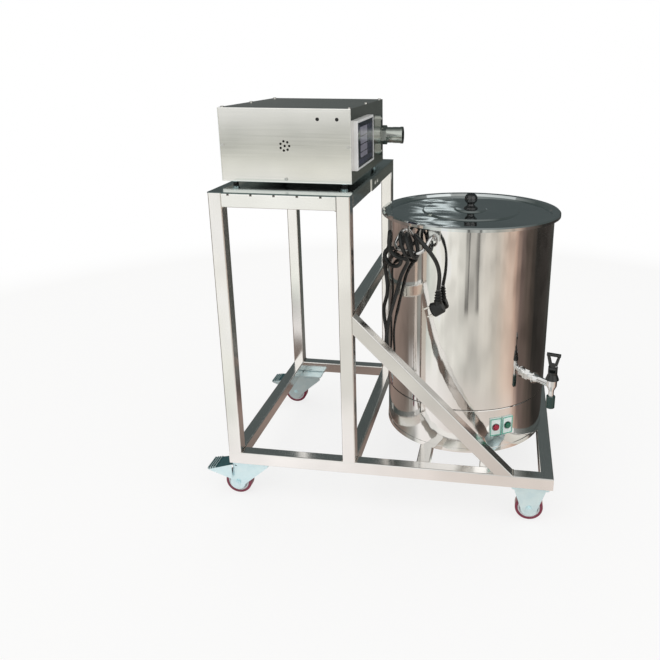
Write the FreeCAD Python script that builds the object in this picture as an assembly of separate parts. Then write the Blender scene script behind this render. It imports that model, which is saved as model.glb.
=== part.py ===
import FreeCAD, Part
import math
import os
from FreeCAD import Vector, Rotation, Placement

# Candle wax melter: a wheeled stainless frame with a bench for the dosing box on the left and a
# cradle for the heated wax barrel on the right. Millimetres, +Z up, +X to the right along the
# front rail, +Y to the back. The model is laid out from the front left corner of the base frame
# at floor level, and moved at the end so that its origin is the middle of its footprint.

# --- frame -----------------------------------------------------------------------------------
tube = 30.0                 # square tube, outside
tube_wall = 1.5
tube_corner = 3.0           # outside corner radius of the tube
base_length = 755.0         # along X, outside to outside
base_depth = 560.0          # along Y, outside to outside
bench_width = 305.0         # outside of the left posts to outside of the right posts
bench_rise = 650.0          # underside of the base rails to the top of the bench sheet
sheet_thickness = 2.0
cross_bar_rise = 390.0      # underside of the base rails to the top of the cross bar
bearer_pitch = 145.0        # between the middles of the two bearers under the barrel
bearer_middle = 531.0       # X of the point midway between the bearers
clip_plate = (2.0, 115.0, 28.0)   # hose clip plate on the right bench rail: thick, long, high
clip_plate_y = 231.0
clip_slot = (17.0, 7.0)     # long, high
clip_slot_pitch = 27.0

# --- casters ---------------------------------------------------------------------------------
wheel_radius = 32.0
caster_room = 33.0          # wheels to the underside of the base rails
tyre_width = 25.0
tyre_depth = 6.5            # thickness of the tread
tyre_round = 3.0
hub_width = 22.0
hub_boss_radius = 8.0
axle_radius = 4.0
running = 0.05              # radial clearance of a turning fit
side_play = 0.3             # between a wheel boss and its fork
fork_wall = 2.5
leg_boss_radius = 19.0
leg_play = 2.0              # between a tyre's side and its fork
leg_foot_half = 17.5        # half width of a leg just above its round foot
leg_foot_drop = 4.5         # axle to where that width is
axle_head_radius = 7.2      # across corners / 2
axle_head = 4.5
axle_end = 6.0              # axle past the outside of its legs
hub_rim = 3.5
hub_dish = 5.0              # hollow in each side of the hub
plate_long = 86.0
plate_wide = 62.0
plate_thick = 3.0
plate_inset = 6.0           # plate edge in from the outside of the frame
race_radius = 20.0
race_height = 5.0
fork_head_radius = 23.0
kingpin_radius = 5.0
kingpin_sink = 1.0          # kingpin's end below the rail
trail = 41.0                # kingpin to axle, to the left at rest
fork_head = 3.7             # thickness of the fork's top web
fork_front = 36.0           # fork web, ahead of the kingpin
fork_back = 50.0            # fork web, behind the kingpin
fork_front_lip = 6.0        # leg below the web at its front edge
fork_back_lip = 9.0         # leg below the web at its back edge
fixed_leg_half = 35.0       # half width of the fixed bracket's leg at the plate
fixed_leg_drop = 16.0       # plate to where the fixed leg starts to taper
pedal_pin_radius = 2.5
pedal_pin_back = 43.0       # kingpin to the pedal's pivot
pedal_hub_radius = 4.5
pedal_hub_gap = 1.0         # under the fork's web
pedal_arm_play = 2.0        # each side, between the legs
pedal_tread_gap = 5.0       # fork's back edge to the tread
pedal_arm_lap = 4.0         # arm under the tread
pedal_reach = 113.0         # kingpin to the tip of the pedal
pedal_width = 48.0
pedal_thick = 3.0
pedal_rib = 2.0
pedal_rib_count = 4
pedal_rib_pitch = 6.0
pedal_fall = 10.0           # tip below the pivot
bolt_radius = 4.0
bolt_inset = 7.0            # bolt in from the plate's edges
bolt_head_radius = 6.5
bolt_head = 5.0
bolt_end = 5.0              # bolt past the rail's wall

# --- barrel ----------------------------------------------------------------------------------
barrel_radius = 198.0
barrel_height = 545.0       # bearers to the top of the rolled rim
barrel_x = 537.0
skin = 1.5                  # vessel sheet
skirt_height = 112.0        # heater skirt, bearers to the vessel's floor
skirt_skin = 1.0
seam_groove = 4.0           # height of the dark groove between skirt and vessel
seam_depth = 1.6
pan_height = 10.0           # upstand of the base pan
pan_skin = 1.0
pan_play = 0.3
rim_bead_radius = 4.5
lid_overhang = 14.0         # past the barrel's wall
lid_skin = 1.2
lid_skirt = 8.0             # turned-down edge of the lid
lid_lift = 0.3              # lid above the rolled rim
lid_well_inset = 10.0       # foot of the step inside the rim, in from the barrel's wall
lid_step = 6.0
lid_ring_radius = 112.0     # outer embossed ring
lid_centre_radius = 36.0    # raised centre under the knob
lid_emboss = 3.0
lid_slope = 4.0             # width of each sloping step
lid_bend = 3.0              # bevel at the outer edge
knob_radius = 14.0
knob_flat = 11.2            # knob's middle to its flat underside
knob_stem_radius = 6.0
knob_stem_height = 12.0
heater_ring_radius = 120.0
heater_tube_radius = 4.0
heater_leg_radius = 3.2
heater_leg_drop = 40.0
heater_leg_pitch = 30.0
thermostat_radius = 9.0
thermostat_height = 14.0

# --- barrel handles --------------------------------------------------------------------------
handle_angle = -32.0        # round the barrel from its front, + to the right
handle_rod_radius = 4.0
handle_span = 84.0
handle_reach = 38.0         # rod's middle out from the barrel wall
handle_drop = 57.0          # rim to the rod
handle_rise = 34.0          # brackets above the rod
handle_knee_out = 14.0      # first bend of the rod out from the wall
handle_knee_fall = 3.4      # and below the brackets
handle_weld = 2.0           # rod's end off its bracket, bridged by the weld
bracket_size = (3.0, 26.0, 22.0)   # thick, wide, high

# --- tap -------------------------------------------------------------------------------------
tap_angle = 50.0
tap_height = 180.0          # bearers to the tap's axis
tap_reach = 71.0            # barrel wall to the middle of the tap's body
tap_turn = -65.5            # bonnet and lever turned about the tap's axis, in degrees
tap_shank_radius = 9.5
tap_shank_length = 20.0     # barrel wall to the flange
tap_shank_inside = 14.0     # shank inside the barrel wall
tap_flange_radius = 13.5
tap_flange_length = 3.5
tap_cone_radius = 10.5
tap_cone_length = 9.5
tap_pipe_radius = 7.5
tap_bore_radius = 4.5
tap_hole_play = 0.5
tap_nut_radius = 13.0       # across corners / 2
tap_nut_length = 8.0
tap_body_radius = 11.7
# levels above and below the tap's axis
tap_body_top = 14.0
tap_shoulder = -2.0
tap_seat = -6.0
tap_body_bottom = -14.0
spout_radius = 6.2
spout_bottom = -38.0
nozzle_radius = 10.4
nozzle_top = -29.0
nozzle_bottom = -56.0
nozzle_bore_radius = 5.0
stem_radius = 3.0
stem_lift = 2.0
stem_gap = 0.4              # lifted stem to lever hub
seat_radius = 6.0
seat_thick = 4.0
seat_play = 1.0
bonnet_foot_radius = 15.5
bonnet_neck_radius = 10.7
bonnet_foot_height = 13.0
bonnet_top = 33.0
ear_gap = 14.0              # between the bonnet's ears
ear_half_width = 5.5
ear_top = 45.0
lever_pivot = 39.0          # above the tap's axis
lever_hub_radius = 5.0
lever_pin_radius = 2.0
lever_top = 78.0
lever_half_width = 15.5
lever_foot_half = 9.5       # half width of the loop's foot
lever_foot_gap = 9.0        # pivot to the loop's foot
lever_bar = 5.0
lever_arm = 6.0             # width of the loop's two arms
lever_neck_step = 1.0       # neck in from the hub's ends
lever_neck_lap = 1.0        # neck into the loop's foot
lever_grip_radius = 4.2

# --- switches and cord -----------------------------------------------------------------------
red_switch_angle = 25.1     # round the barrel from its front
switch_pitch = 30.554       # red to green, along the skirt
switch_height = 65.0        # bearers to the middle of the plates
switch_plate = (3.0, 28.0, 44.0)   # thick, wide, high
switch_case = (24.0, 22.0, 36.0)   # deep, wide, high
case_play = 1.0
button_radius = 7.0
button_proud = 4.0
button_depth = 8.0
button_travel = 3.0
button_floor_play = 1.0     # left behind a pressed button
button_round = 1.2
gland_flange_radius = 12.0
gland_flange = 3.6
gland_radius = 9.0
gland_tip_radius = 6.0
cord_radius = 4.5
plug_radius = 17.0
plug_length = 26.0
plug_half = 12.0            # half its thickness, out from the barrel
plug_sink = 4.0             # strain relief into the plug
plug_tilt = 28.0            # pins below the level, in degrees
relief_length = 30.0
relief_step = 0.5           # strain relief's tip wider than the cord
relief_play = 0.2           # between the cord's end and the strain relief
relief_radius = 7.5
pin_radius = 2.4
pin_length = 19.0
pin_pitch = 19.0

# --- dosing box ------------------------------------------------------------------------------
box_width = 291.0
box_depth = 384.0
box_height = 157.0
box_front = 86.0            # front panel back from the front of the bench
box_margin = 14.0           # right side in from the right of the bench
box_skin = 1.5
foot_height = 9.0
foot_radius = 6.0
foot_inset = 22.0
flange_width = 12.0
screw_radius = 2.0
screw_head_radius = 3.6
screw_head = 2.2
screw_length = 8.0
screw_edge = 6.0            # screw in from the box's outside
screw_end = 14.0            # end screws of the cover in from front and back
sound_hole_radius = 2.6
sound_ring_radius = 10.0
sound_hole_count = 7
sound_centre = (0.5, 0.5)   # share of the front panel's width and height
lamp_hole_radius = 3.9
lamp_hole_x = (219.0, 261.0)   # from the panel's left edge
lamp_hole_drop = 22.0
bezel_y = (28.0, 214.0)     # back from the front panel
bezel_z = (24.5, 130.5)     # up from the box's floor
bezel_proud = 8.0
bezel_border = 5.0
bezel_round = 2.0
screen_recess = 1.0
screen_module_depth = 30.0
port_back = 321.0           # front panel back to the outlet's axis
port_height = 73.0
inlet_x = 200.0             # inlet's axis from the box's left side
port_flange_thick = 8.0
port_flange_radius = 24.0
port_ear_pitch = 80.0
port_ear_radius = 10.0
port_hole_radius = 13.0
pipe_radius = 21.0
pipe_neck_radius = 19.5
pipe_bore_radius = 12.0
pipe_length = 55.0
pipe_neck_length = 30.0
pipe_lip = 6.0
pipe_lip_step = 1.0
pipe_hexagon = 14.0         # length of the hexagon at the flange
pipe_hexagon_radius = 24.0  # across corners / 2
socket_size = (48.0, 28.0)  # mains inlet, wide and high
socket_x = 60.0
socket_z = 40.0
socket_rim = 3.0            # width and thickness of its outer rim
socket_depth = 22.0
socket_hollow = 16.0
socket_side_wall = 10.0
socket_top_wall = 6.0
vent_count = 6
vent_size = (4.0, 60.0)
vent_pitch = 12.0
vent_x = 110.0
vent_z = 45.0

# --- inside the dosing box -------------------------------------------------------------------
gear_teeth = 12
gear_module = 3.0
gear_pressure = 20.0        # degrees
gear_addendum = 0.95        # of a module
gear_dedendum = 1.15
flank_points = 5
gear_width = 24.0
gear_tip_play = 0.15
gear_side_play = 0.3
gear_backlash = 0.35
shaft_radius = 5.0
shaft_wall = 6.0            # pump wall past the end of a shaft
shaft_play = 1.0            # at each end of a shaft
pump_length = 56.0          # along X
pump_depth = 62.0           # along Y
pump_wall = 14.0            # above the upper gear
motor_radius = 32.0
motor_length = 110.0
motor_gap = 18.0            # pump to motor
motor_socket = 22.0
motor_foot_inset = 15.0
supply_size = (110.0, 160.0, 40.0)
supply_place = (25.0, 45.0)    # in from the box's left side and front
board_size = (90.0, 120.0, 1.6)
board_gap = 12.0            # supply to board
standoff_inset = 6.0
relay_place = (15.0, 20.0)
relay_size = (30.0, 40.0, 12.0)
choke_place = (55.0, 75.0)
choke_size = (25.0, 30.0, 18.0)
standoff_radius = 3.5
standoff_height = 10.0

# --- making ----------------------------------------------------------------------------------
over = 1.0                  # a cutting tool reaches this far past the part that it cuts
cut_reach = 5.0             # and this far in from the outside of the box
bend_share = 0.45           # of the shorter run, taken by the arc at a bend

# Derived levels and places
rail_bottom = 2 * wheel_radius + caster_room
rail_top = rail_bottom + tube
sheet_top = rail_bottom + bench_rise
post_top = sheet_top - sheet_thickness
bench_rail_bottom = post_top - tube
cross_bar_bottom = rail_bottom + cross_bar_rise - tube
barrel_y = base_depth / 2
skirt_top = rail_top + skirt_height
rim_top = rail_top + barrel_height
skirt_radius = barrel_radius - pan_skin - pan_play
lid_radius = barrel_radius + lid_overhang
lid_well_radius = barrel_radius - lid_well_inset
plate_bottom = rail_bottom - plate_thick
box_right = bench_width - box_margin
box_left = box_right - box_width
box_bottom = sheet_top + foot_height
box_top = box_bottom + box_height
box_back = box_front + box_depth
port_z = box_bottom + port_height
tap_z = rail_top + tap_height
switch_z = rail_top + switch_height
green_switch_angle = red_switch_angle + math.degrees(switch_pitch / skirt_radius)
switch_angles = {"red": red_switch_angle, "green": green_switch_angle}

UP = Vector(0, 0, 1)
BACK = Vector(0, 1, 0)
nodes = {}
places = {}


def add(name, *shapes):
    """Keep one node, made of one or more separate solids."""
    solids = [solid for shape in shapes for solid in shape.Solids]
    nodes[name] = solids[0] if len(solids) == 1 else Part.makeCompound(solids)


def block(low, high):
    size = [b - a for a, b in zip(low, high)]
    return Part.makeBox(*size, Vector(*low))


def rod(radius, start, end):
    start, end = Vector(*start), Vector(*end)
    return Part.makeCylinder(radius, (end - start).Length, start, end - start)


def cone(radius_start, radius_end, start, end):
    start, end = Vector(*start), Vector(*end)
    return Part.makeCone(radius_start, radius_end, (end - start).Length, start, end - start)


def prism(points, direction):
    """A flat outline pushed along a direction."""
    outline = Part.makePolygon([Vector(*p) for p in points + points[:1]])
    return Part.Face(outline).extrude(Vector(*direction))


def hexagon(corner_radius, start, end):
    """A hexagonal bar between two points."""
    start, end = Vector(*start), Vector(*end)
    turns = [math.radians(60 * i) for i in range(6)]
    points = [(corner_radius * math.cos(t), corner_radius * math.sin(t), 0) for t in turns]
    bar = prism(points, (0, 0, (end - start).Length))
    bar.Placement = Placement(start, Rotation(UP, end - start))
    return bar


def turned(points):
    """A profile of (radius, height) points turned about the barrel's axis."""
    outline = Part.makePolygon([Vector(r, 0, z) for r, z in points + points[:1]])
    body = Part.Face(outline).revolve(Vector(), UP, 360)
    body.translate(Vector(barrel_x, barrel_y, 0))
    return body


def round_barrel(shape, angle):
    """Place a shape drawn with +X outwards from the barrel's axis at an angle from its front."""
    placed = shape.copy()
    placed.rotate(Vector(), UP, angle - 90)
    placed.translate(Vector(barrel_x, barrel_y, 0))
    return placed


def barrel_point(angle, radius, height):
    turn = math.radians(angle)
    return Vector(barrel_x + radius * math.sin(turn), barrel_y - radius * math.cos(turn), height)


# --- frame -----------------------------------------------------------------------------------
def square_tube(low, axis, length):
    """Hollow square tube with rounded corners, its low corner at low, running along an axis."""
    high = list(low)
    inner_low = [v + tube_wall for v in low]
    for i in range(3):
        high[i] += length if i == axis else tube
    inner_high = [v - tube_wall for v in high]
    inner_low[axis] = low[axis]
    inner_high[axis] = high[axis]
    outer = block(low, high)
    along = Vector(*[1.0 if i == axis else 0.0 for i in range(3)])
    edges = [e for e in outer.Edges if abs(e.tangentAt(e.FirstParameter).dot(along)) > 0.99]
    return outer.makeFillet(tube_corner, edges).cut(block(inner_low, inner_high))


def mitred(rail, low, high):
    """Keep the part of a base rail whose plan lies inside the mitre lines of its corners."""
    x0, y0 = low
    x1, y1 = high
    inset = min(tube, abs(y1 - y0), abs(x1 - x0))
    if x1 - x0 > y1 - y0:
        outline = [(x0, y0), (x1, y0), (x1 - inset, y1), (x0 + inset, y1)]
        if y0 > 0:
            outline = [(x0 + inset, y0), (x1 - inset, y0), (x1, y1), (x0, y1)]
    else:
        outline = [(x0, y0), (x1, y0 + inset), (x1, y1 - inset), (x0, y1)]
        if x0 > 0:
            outline = [(x0, y0 + inset), (x1, y0), (x1, y1), (x0, y1 - inset)]
    return rail.common(prism([(x, y, rail_bottom) for x, y in outline], (0, 0, tube)))


def bolt_places(side_x, side_y):
    """The three plate bolts of a corner that lie under its two rails."""
    long_step = plate_long - 2 * bolt_inset
    wide_step = plate_wide - 2 * bolt_inset
    x0 = plate_inset + bolt_inset if side_x < 0 else base_length - plate_inset - bolt_inset
    y0 = plate_inset + bolt_inset if side_y < 0 else base_depth - plate_inset - bolt_inset
    return [(x0, y0), (x0 - side_x * long_step, y0), (x0, y0 - side_y * wide_step)]


CORNERS = {
    "front_left": (-1, -1), "rear_left": (-1, 1), "front_right": (1, -1), "rear_right": (1, 1),
}


def caster_centre(side_x, side_y):
    x = plate_inset + plate_long / 2
    y = plate_inset + plate_wide / 2
    return (x if side_x < 0 else base_length - x, y if side_y < 0 else base_depth - y)


def make_frame():
    right = base_length - tube
    back = base_depth - tube
    z = rail_bottom
    rails = [
        mitred(square_tube([0, 0, z], 0, base_length), (0, 0), (base_length, tube)),
        mitred(square_tube([0, back, z], 0, base_length), (0, back), (base_length, base_depth)),
        mitred(square_tube([0, 0, z], 1, base_depth), (0, 0), (tube, base_depth)),
        mitred(square_tube([right, 0, z], 1, base_depth), (right, 0), (base_length, base_depth)),
    ]
    for side_x, side_y in CORNERS.values():
        for x, y in bolt_places(side_x, side_y):
            hole = rod(bolt_radius, (x, y, z - over), (x, y, z + tube_wall + over))
            rails = [rail.cut(hole) for rail in rails]
    add("base_rails", *rails)

    inner_x = [bench_width - tube]
    inner_x += [bearer_middle + side * bearer_pitch / 2 - tube / 2 for side in (-1, 1)]
    inner_length = base_depth - 2 * tube
    add("inner_base_rails", *[square_tube([x, tube, z], 1, inner_length) for x in inner_x])

    post_x = (0, bench_width - tube)
    posts = [square_tube([x, y, rail_top], 2, post_top - rail_top) for x in post_x for y in (0, back)]
    add("bench_posts", *posts)

    z = bench_rail_bottom
    across = bench_width - 2 * tube
    rails = [square_tube([tube, y, z], 0, across) for y in (0, back)]
    rails += [square_tube([x, tube, z], 1, inner_length) for x in post_x]
    rails.append(square_tube([bench_width - tube, tube, cross_bar_bottom], 1, inner_length))
    add("bench_rails", *rails, make_clip_plate())
    add("bench_sheet", block((0, 0, post_top), (bench_width, base_depth, sheet_top)))
    add("braces", make_brace(0), make_brace(back))


def make_clip_plate():
    """Slotted plate welded to the outside of the right bench rail, for a hose clip."""
    thick, long, high = clip_plate
    slot_long, slot_high = clip_slot
    z = bench_rail_bottom + (tube - high) / 2
    plate = block((bench_width, clip_plate_y, z), (bench_width + thick, clip_plate_y + long, z + high))
    middle = clip_plate_y + long / 2
    middle_z = z + high / 2
    for side in (-1, 1):
        y = middle + side * clip_slot_pitch / 2
        slot = block((bench_width - over, y - slot_long / 2, middle_z - slot_high / 2),
                     (bench_width + thick + over, y + slot_long / 2, middle_z + slot_high / 2))
        plate = plate.cut(slot)
    return plate


def make_brace(y):
    """Tube at 45 degrees from the right post down to the base rail, cut flush at both ends."""
    top = rail_bottom + cross_bar_rise
    fall = top - rail_top
    brace = square_tube([0, y, 0], 0, fall * math.sqrt(2) + 4 * tube)
    brace.translate(Vector(-2 * tube, 0, -tube))
    brace.rotate(Vector(), Vector(0, 1, 0), 45)
    brace.translate(Vector(bench_width, 0, top))
    room = block((bench_width, y, rail_top), (bench_width + fall + tube, y + tube, top))
    return brace.common(room)


# --- casters ---------------------------------------------------------------------------------
leg_inner = tyre_width / 2 + leg_play
leg_outer = leg_inner + fork_wall


def fork_leg(outline, axle_x, y, inward):
    """One side plate of a fork, with a round foot at the axle and a bore through it."""
    thick = fork_wall
    low_y = y if inward > 0 else y - thick
    plate = prism([(x, low_y, z) for x, z in outline], (0, thick, 0))
    foot = rod(leg_boss_radius, (axle_x, low_y, wheel_radius), (axle_x, low_y + thick, wheel_radius))
    bore = rod(axle_radius, (axle_x, low_y - over, wheel_radius),
               (axle_x, low_y + thick + over, wheel_radius))
    return plate.fuse(foot).cut(bore)


def make_axle(x, y):
    """Axle bolt across a fork, with its head and nut outside the legs."""
    half = leg_outer + axle_end
    axle = rod(axle_radius, (x, y - half, wheel_radius), (x, y + half, wheel_radius))
    for side in (-1, 1):
        axle = axle.fuse(hexagon(axle_head_radius, (x, y + side * leg_outer, wheel_radius),
                                 (x, y + side * (leg_outer + axle_head), wheel_radius)))
    return axle


def make_wheel(name, x, y):
    centre = Vector(x, y, wheel_radius)
    across = Vector(0, 1, 0)
    rim = wheel_radius - tyre_depth

    def disc(radius, width):
        return Part.makeCylinder(radius, width, centre - across * (width / 2), across)

    tyre = disc(wheel_radius, tyre_width)
    tyre = tyre.makeFillet(tyre_round, [e for e in tyre.Edges if len(e.Vertexes) == 1])
    add(name + "_tyre", tyre.cut(disc(rim, tyre_width + 2 * over)))
    hub = disc(rim, hub_width)
    for side in (-1, 1):
        face = centre + across * (side * hub_width / 2)
        dish = Part.makeCylinder(rim - hub_rim, hub_dish, face, across * -side)
        boss = Part.makeCylinder(hub_boss_radius, hub_dish, face, across * -side)
        hub = hub.cut(dish.cut(boss))
    hub = hub.fuse(disc(hub_boss_radius, 2 * (leg_inner - side_play)))
    add(name + "_hub", hub.cut(disc(axle_radius + running, 4 * tyre_width)))
    places[name + "_axle"] = centre


def make_swivel(name, x, y):
    """Swivelling caster: race under its plate, fork with kingpin and axle, brake pedal."""
    race_bottom = plate_bottom - race_height
    head_top = race_bottom - side_play
    head_bottom = head_top - fork_head
    plate = corner_plate(x, y)
    plate = plate.fuse(rod(race_radius, (x, y, race_bottom), (x, y, plate_bottom)))
    plate = plate.cut(rod(kingpin_radius + running, (x, y, race_bottom - over), (x, y, rail_bottom)))

    half = leg_outer
    fork = block((x - fork_back, y - half, head_bottom), (x + fork_front, y + half, head_top))
    fork = fork.fuse(rod(fork_head_radius, (x, y, head_bottom), (x, y, head_top)))
    axle_x = x - trail
    foot_z = wheel_radius - leg_foot_drop
    outline = [
        (x - fork_back, head_top), (x + fork_front, head_top),
        (x + fork_front, head_bottom - fork_front_lip),
        (axle_x + leg_foot_half, foot_z), (axle_x - leg_foot_half, foot_z),
        (x - fork_back, head_bottom - fork_back_lip),
    ]
    for side in (-1, 1):
        fork = fork.fuse(fork_leg(outline, axle_x, y + side * leg_inner, side))
    fork = fork.fuse(rod(kingpin_radius, (x, y, head_bottom), (x, y, rail_bottom - kingpin_sink)))
    pin_x = x - pedal_pin_back
    pin_z = head_bottom - pedal_hub_radius - pedal_hub_gap
    for side in (-1, 1):
        start = (pin_x, y + side * (leg_inner - over), pin_z)
        end = (pin_x, y + side * (half + over), pin_z)
        fork = fork.cut(rod(pedal_pin_radius + running, start, end))
    add(name + "_fork", fork, make_axle(axle_x, y))
    add(name + "_pedal", make_pedal(x, y, pin_x, pin_z))
    make_wheel(name, axle_x, y)
    places[name + "_swivel"] = Vector(x, y, race_bottom)
    places[name + "_pedal"] = Vector(pin_x, y, pin_z)
    return plate


def make_pedal(x, y, pin_x, pin_z):
    """Brake pedal: a hub on its pin between the legs, an arm, and a ribbed tread."""
    hub_half = leg_inner - side_play
    pedal = rod(pedal_hub_radius, (pin_x, y - hub_half, pin_z), (pin_x, y + hub_half, pin_z))
    pin = rod(pedal_pin_radius, (pin_x, y - leg_outer, pin_z), (pin_x, y + leg_outer, pin_z))
    tread_start = x - fork_back - pedal_tread_gap
    tip = x - pedal_reach
    arm_half = leg_inner - pedal_arm_play
    arm = block((tread_start - pedal_arm_lap, y - arm_half, pin_z - pedal_thick / 2),
                (pin_x, y + arm_half, pin_z + pedal_thick / 2))
    pedal = pedal.fuse(pin).fuse(arm)
    wide = pedal_width / 2
    tip_z = pin_z - pedal_fall
    slope = (pin_z + pedal_thick / 2 - tip_z) / (tread_start - tip)
    side_view = [
        (tread_start, pin_z - pedal_thick / 2), (tip, tip_z - pedal_thick),
        (tip, tip_z), (tread_start, pin_z + pedal_thick / 2),
    ]
    pedal = pedal.fuse(prism([(px, y - wide, pz) for px, pz in side_view], (0, 2 * wide, 0)))
    for i in range(pedal_rib_count):
        rib_x = tip + pedal_rib + i * pedal_rib_pitch
        rib_z = tip_z + (rib_x - tip) * slope
        pedal = pedal.fuse(rod(pedal_rib, (rib_x, y - wide, rib_z), (rib_x, y + wide, rib_z)))
    return pedal


def corner_plate(x, y):
    """Top plate of a caster, with holes for the bolts that go up into the rails."""
    plate = block((x - plate_long / 2, y - plate_wide / 2, plate_bottom),
                  (x + plate_long / 2, y + plate_wide / 2, rail_bottom))
    side_x = -1 if x < base_length / 2 else 1
    side_y = -1 if y < base_depth / 2 else 1
    for bx, by in bolt_places(side_x, side_y):
        plate = plate.cut(rod(bolt_radius, (bx, by, plate_bottom - over), (bx, by, rail_bottom + over)))
    return plate


def make_fixed(name, x, y):
    """Fixed caster: plate and both legs pressed as one bracket, and its axle bolt."""
    bracket = corner_plate(x, y)
    taper = plate_bottom - fixed_leg_drop
    foot_z = wheel_radius - leg_foot_drop
    outline = [
        (x - fixed_leg_half, plate_bottom), (x + fixed_leg_half, plate_bottom),
        (x + fixed_leg_half, taper), (x + leg_foot_half, foot_z),
        (x - leg_foot_half, foot_z), (x - fixed_leg_half, taper),
    ]
    for side in (-1, 1):
        bracket = bracket.fuse(fork_leg(outline, x, y + side * leg_inner, side))
    make_wheel(name, x, y)
    return [bracket, make_axle(x, y)]


def make_casters():
    plates, brackets, bolts = [], [], []
    for name, (side_x, side_y) in CORNERS.items():
        x, y = caster_centre(side_x, side_y)
        if side_x < 0:
            plates.append(make_swivel(name, x, y))
        else:
            brackets += make_fixed(name, x, y)
        for bx, by in bolt_places(side_x, side_y):
            end = rail_bottom + tube_wall + bolt_end
            shank = rod(bolt_radius, (bx, by, plate_bottom), (bx, by, end))
            head = rod(bolt_head_radius, (bx, by, plate_bottom - bolt_head), (bx, by, plate_bottom))
            bolts.append(shank.fuse(head))
    add("swivel_plates", *plates)
    add("fixed_brackets", *brackets)
    add("caster_bolts", *bolts)


# --- barrel ----------------------------------------------------------------------------------
def make_barrel():
    inside = barrel_radius - skin
    vessel = turned([
        (0, skirt_top), (barrel_radius, skirt_top), (barrel_radius, rim_top - rim_bead_radius),
        (inside, rim_top - rim_bead_radius), (inside, skirt_top + skin), (0, skirt_top + skin),
    ])
    bead = Part.makeTorus(inside + rim_bead_radius, rim_bead_radius,
                          Vector(barrel_x, barrel_y, rim_top - rim_bead_radius))
    vessel = vessel.fuse(bead)
    hole = rod(tap_shank_radius + tap_hole_play, (inside - tap_shank_radius, 0, tap_z),
               (barrel_radius + over, 0, tap_z))
    add("barrel_vessel", vessel.cut(round_barrel(hole, tap_angle)))

    groove_radius = skirt_radius - seam_depth
    lower = skirt_top - seam_groove
    floor = rail_top + pan_skin
    skirt = turned([
        (skirt_radius, floor), (skirt_radius, lower), (groove_radius, lower),
        (groove_radius, skirt_top), (groove_radius - skirt_skin, skirt_top),
        (groove_radius - skirt_skin, lower - skirt_skin), (skirt_radius - skirt_skin, lower - skirt_skin),
        (skirt_radius - skirt_skin, floor),
    ])
    deep, wide, high = switch_case
    for angle in switch_angles.values():
        window = block((skirt_radius - deep, -wide / 2 - case_play, switch_z - high / 2 - case_play),
                       (barrel_radius + over, wide / 2 + case_play, switch_z + high / 2 + case_play))
        skirt = skirt.cut(round_barrel(window, angle))
    add("heater_skirt", skirt)

    pan = turned([
        (0, rail_top), (barrel_radius, rail_top), (barrel_radius, rail_top + pan_height),
        (barrel_radius - pan_skin, rail_top + pan_height), (barrel_radius - pan_skin, floor), (0, floor),
    ])
    add("base_pan", pan)


def make_heater():
    """Ring heater clamped under the vessel's floor, with two legs, and a disc thermostat."""
    z = skirt_top - heater_tube_radius
    centre = Vector(barrel_x, barrel_y, z)
    ring = Part.makeTorus(heater_ring_radius, heater_tube_radius, centre)
    for side in (-1, 1):
        x = barrel_x + side * heater_leg_pitch / 2
        y = barrel_y + math.sqrt(heater_ring_radius ** 2 - (heater_leg_pitch / 2) ** 2)
        ring = ring.fuse(rod(heater_leg_radius, (x, y, z - heater_leg_drop), (x, y, z)))
    add("heating_element", ring)
    add("thermostat", rod(thermostat_radius, (barrel_x, barrel_y, skirt_top - thermostat_height),
                          (barrel_x, barrel_y, skirt_top)))


def make_lid():
    seat = rim_top + lid_lift
    top = seat + lid_skin
    well = top - lid_step
    turn_in = lid_radius - lid_skin
    well_edge = lid_well_radius + lid_slope
    inner_bend = lid_bend / 2
    upper = [
        (0, well + 2 * lid_emboss), (lid_centre_radius, well + 2 * lid_emboss),
        (lid_centre_radius + lid_slope, well + lid_emboss), (lid_ring_radius, well + lid_emboss),
        (lid_ring_radius + lid_slope, well), (lid_well_radius, well), (well_edge, top),
        (lid_radius - lid_bend, top), (lid_radius, top - lid_bend), (lid_radius, seat - lid_skirt),
    ]
    lower = [
        (turn_in, seat - lid_skirt), (turn_in, seat - inner_bend), (turn_in - inner_bend, seat),
        (well_edge, seat),
    ]
    lower += [(r, z - lid_skin) for r, z in reversed(upper[:6])]
    add("lid", turned(upper + lower))
    base = well + 2 * lid_emboss
    stem_end = base + knob_stem_height
    centre = (barrel_x, barrel_y)
    add("knob_stem", rod(knob_stem_radius, (*centre, base), (*centre, stem_end)))
    ball = Part.makeSphere(knob_radius, Vector(*centre, stem_end + knob_flat))
    below = rod(knob_radius + over, (*centre, base), (*centre, stem_end))
    add("lid_knob", ball.cut(below))


# --- routes of bent rod and cord -------------------------------------------------------------
def rounded_route(points, report=None):
    """Straight runs joined by tangent arcs, each as large as its two runs allow."""
    edges = []
    start = points[0]
    for before, corner, after in zip(points, points[1:], points[2:]):
        to_before = (before - corner).normalize()
        to_after = (after - corner).normalize()
        half_turn = (math.pi - to_before.getAngle(to_after)) / 2
        setback = bend_share * min((before - corner).Length, (after - corner).Length)
        radius = setback / math.tan(half_turn)
        enter = corner + to_before * setback
        leave = corner + to_after * setback
        middle_way = (to_before + to_after).normalize()
        middle = corner + middle_way * (radius / math.cos(half_turn) - radius)
        edges.append(Part.LineSegment(start, enter).toShape())
        edges.append(Part.Arc(enter, middle, leave).toShape())
        start = leave
        if report is not None:
            report.append(radius)
    edges.append(Part.LineSegment(start, points[-1]).toShape())
    return Part.Wire(edges)


def bent_rod(radius, points, report=None):
    route = rounded_route(points, report)
    ring = Part.Wire(Part.Circle(points[0], points[1] - points[0], radius).toShape())
    return route.makePipeShell([ring], True, False), route.Length


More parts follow.
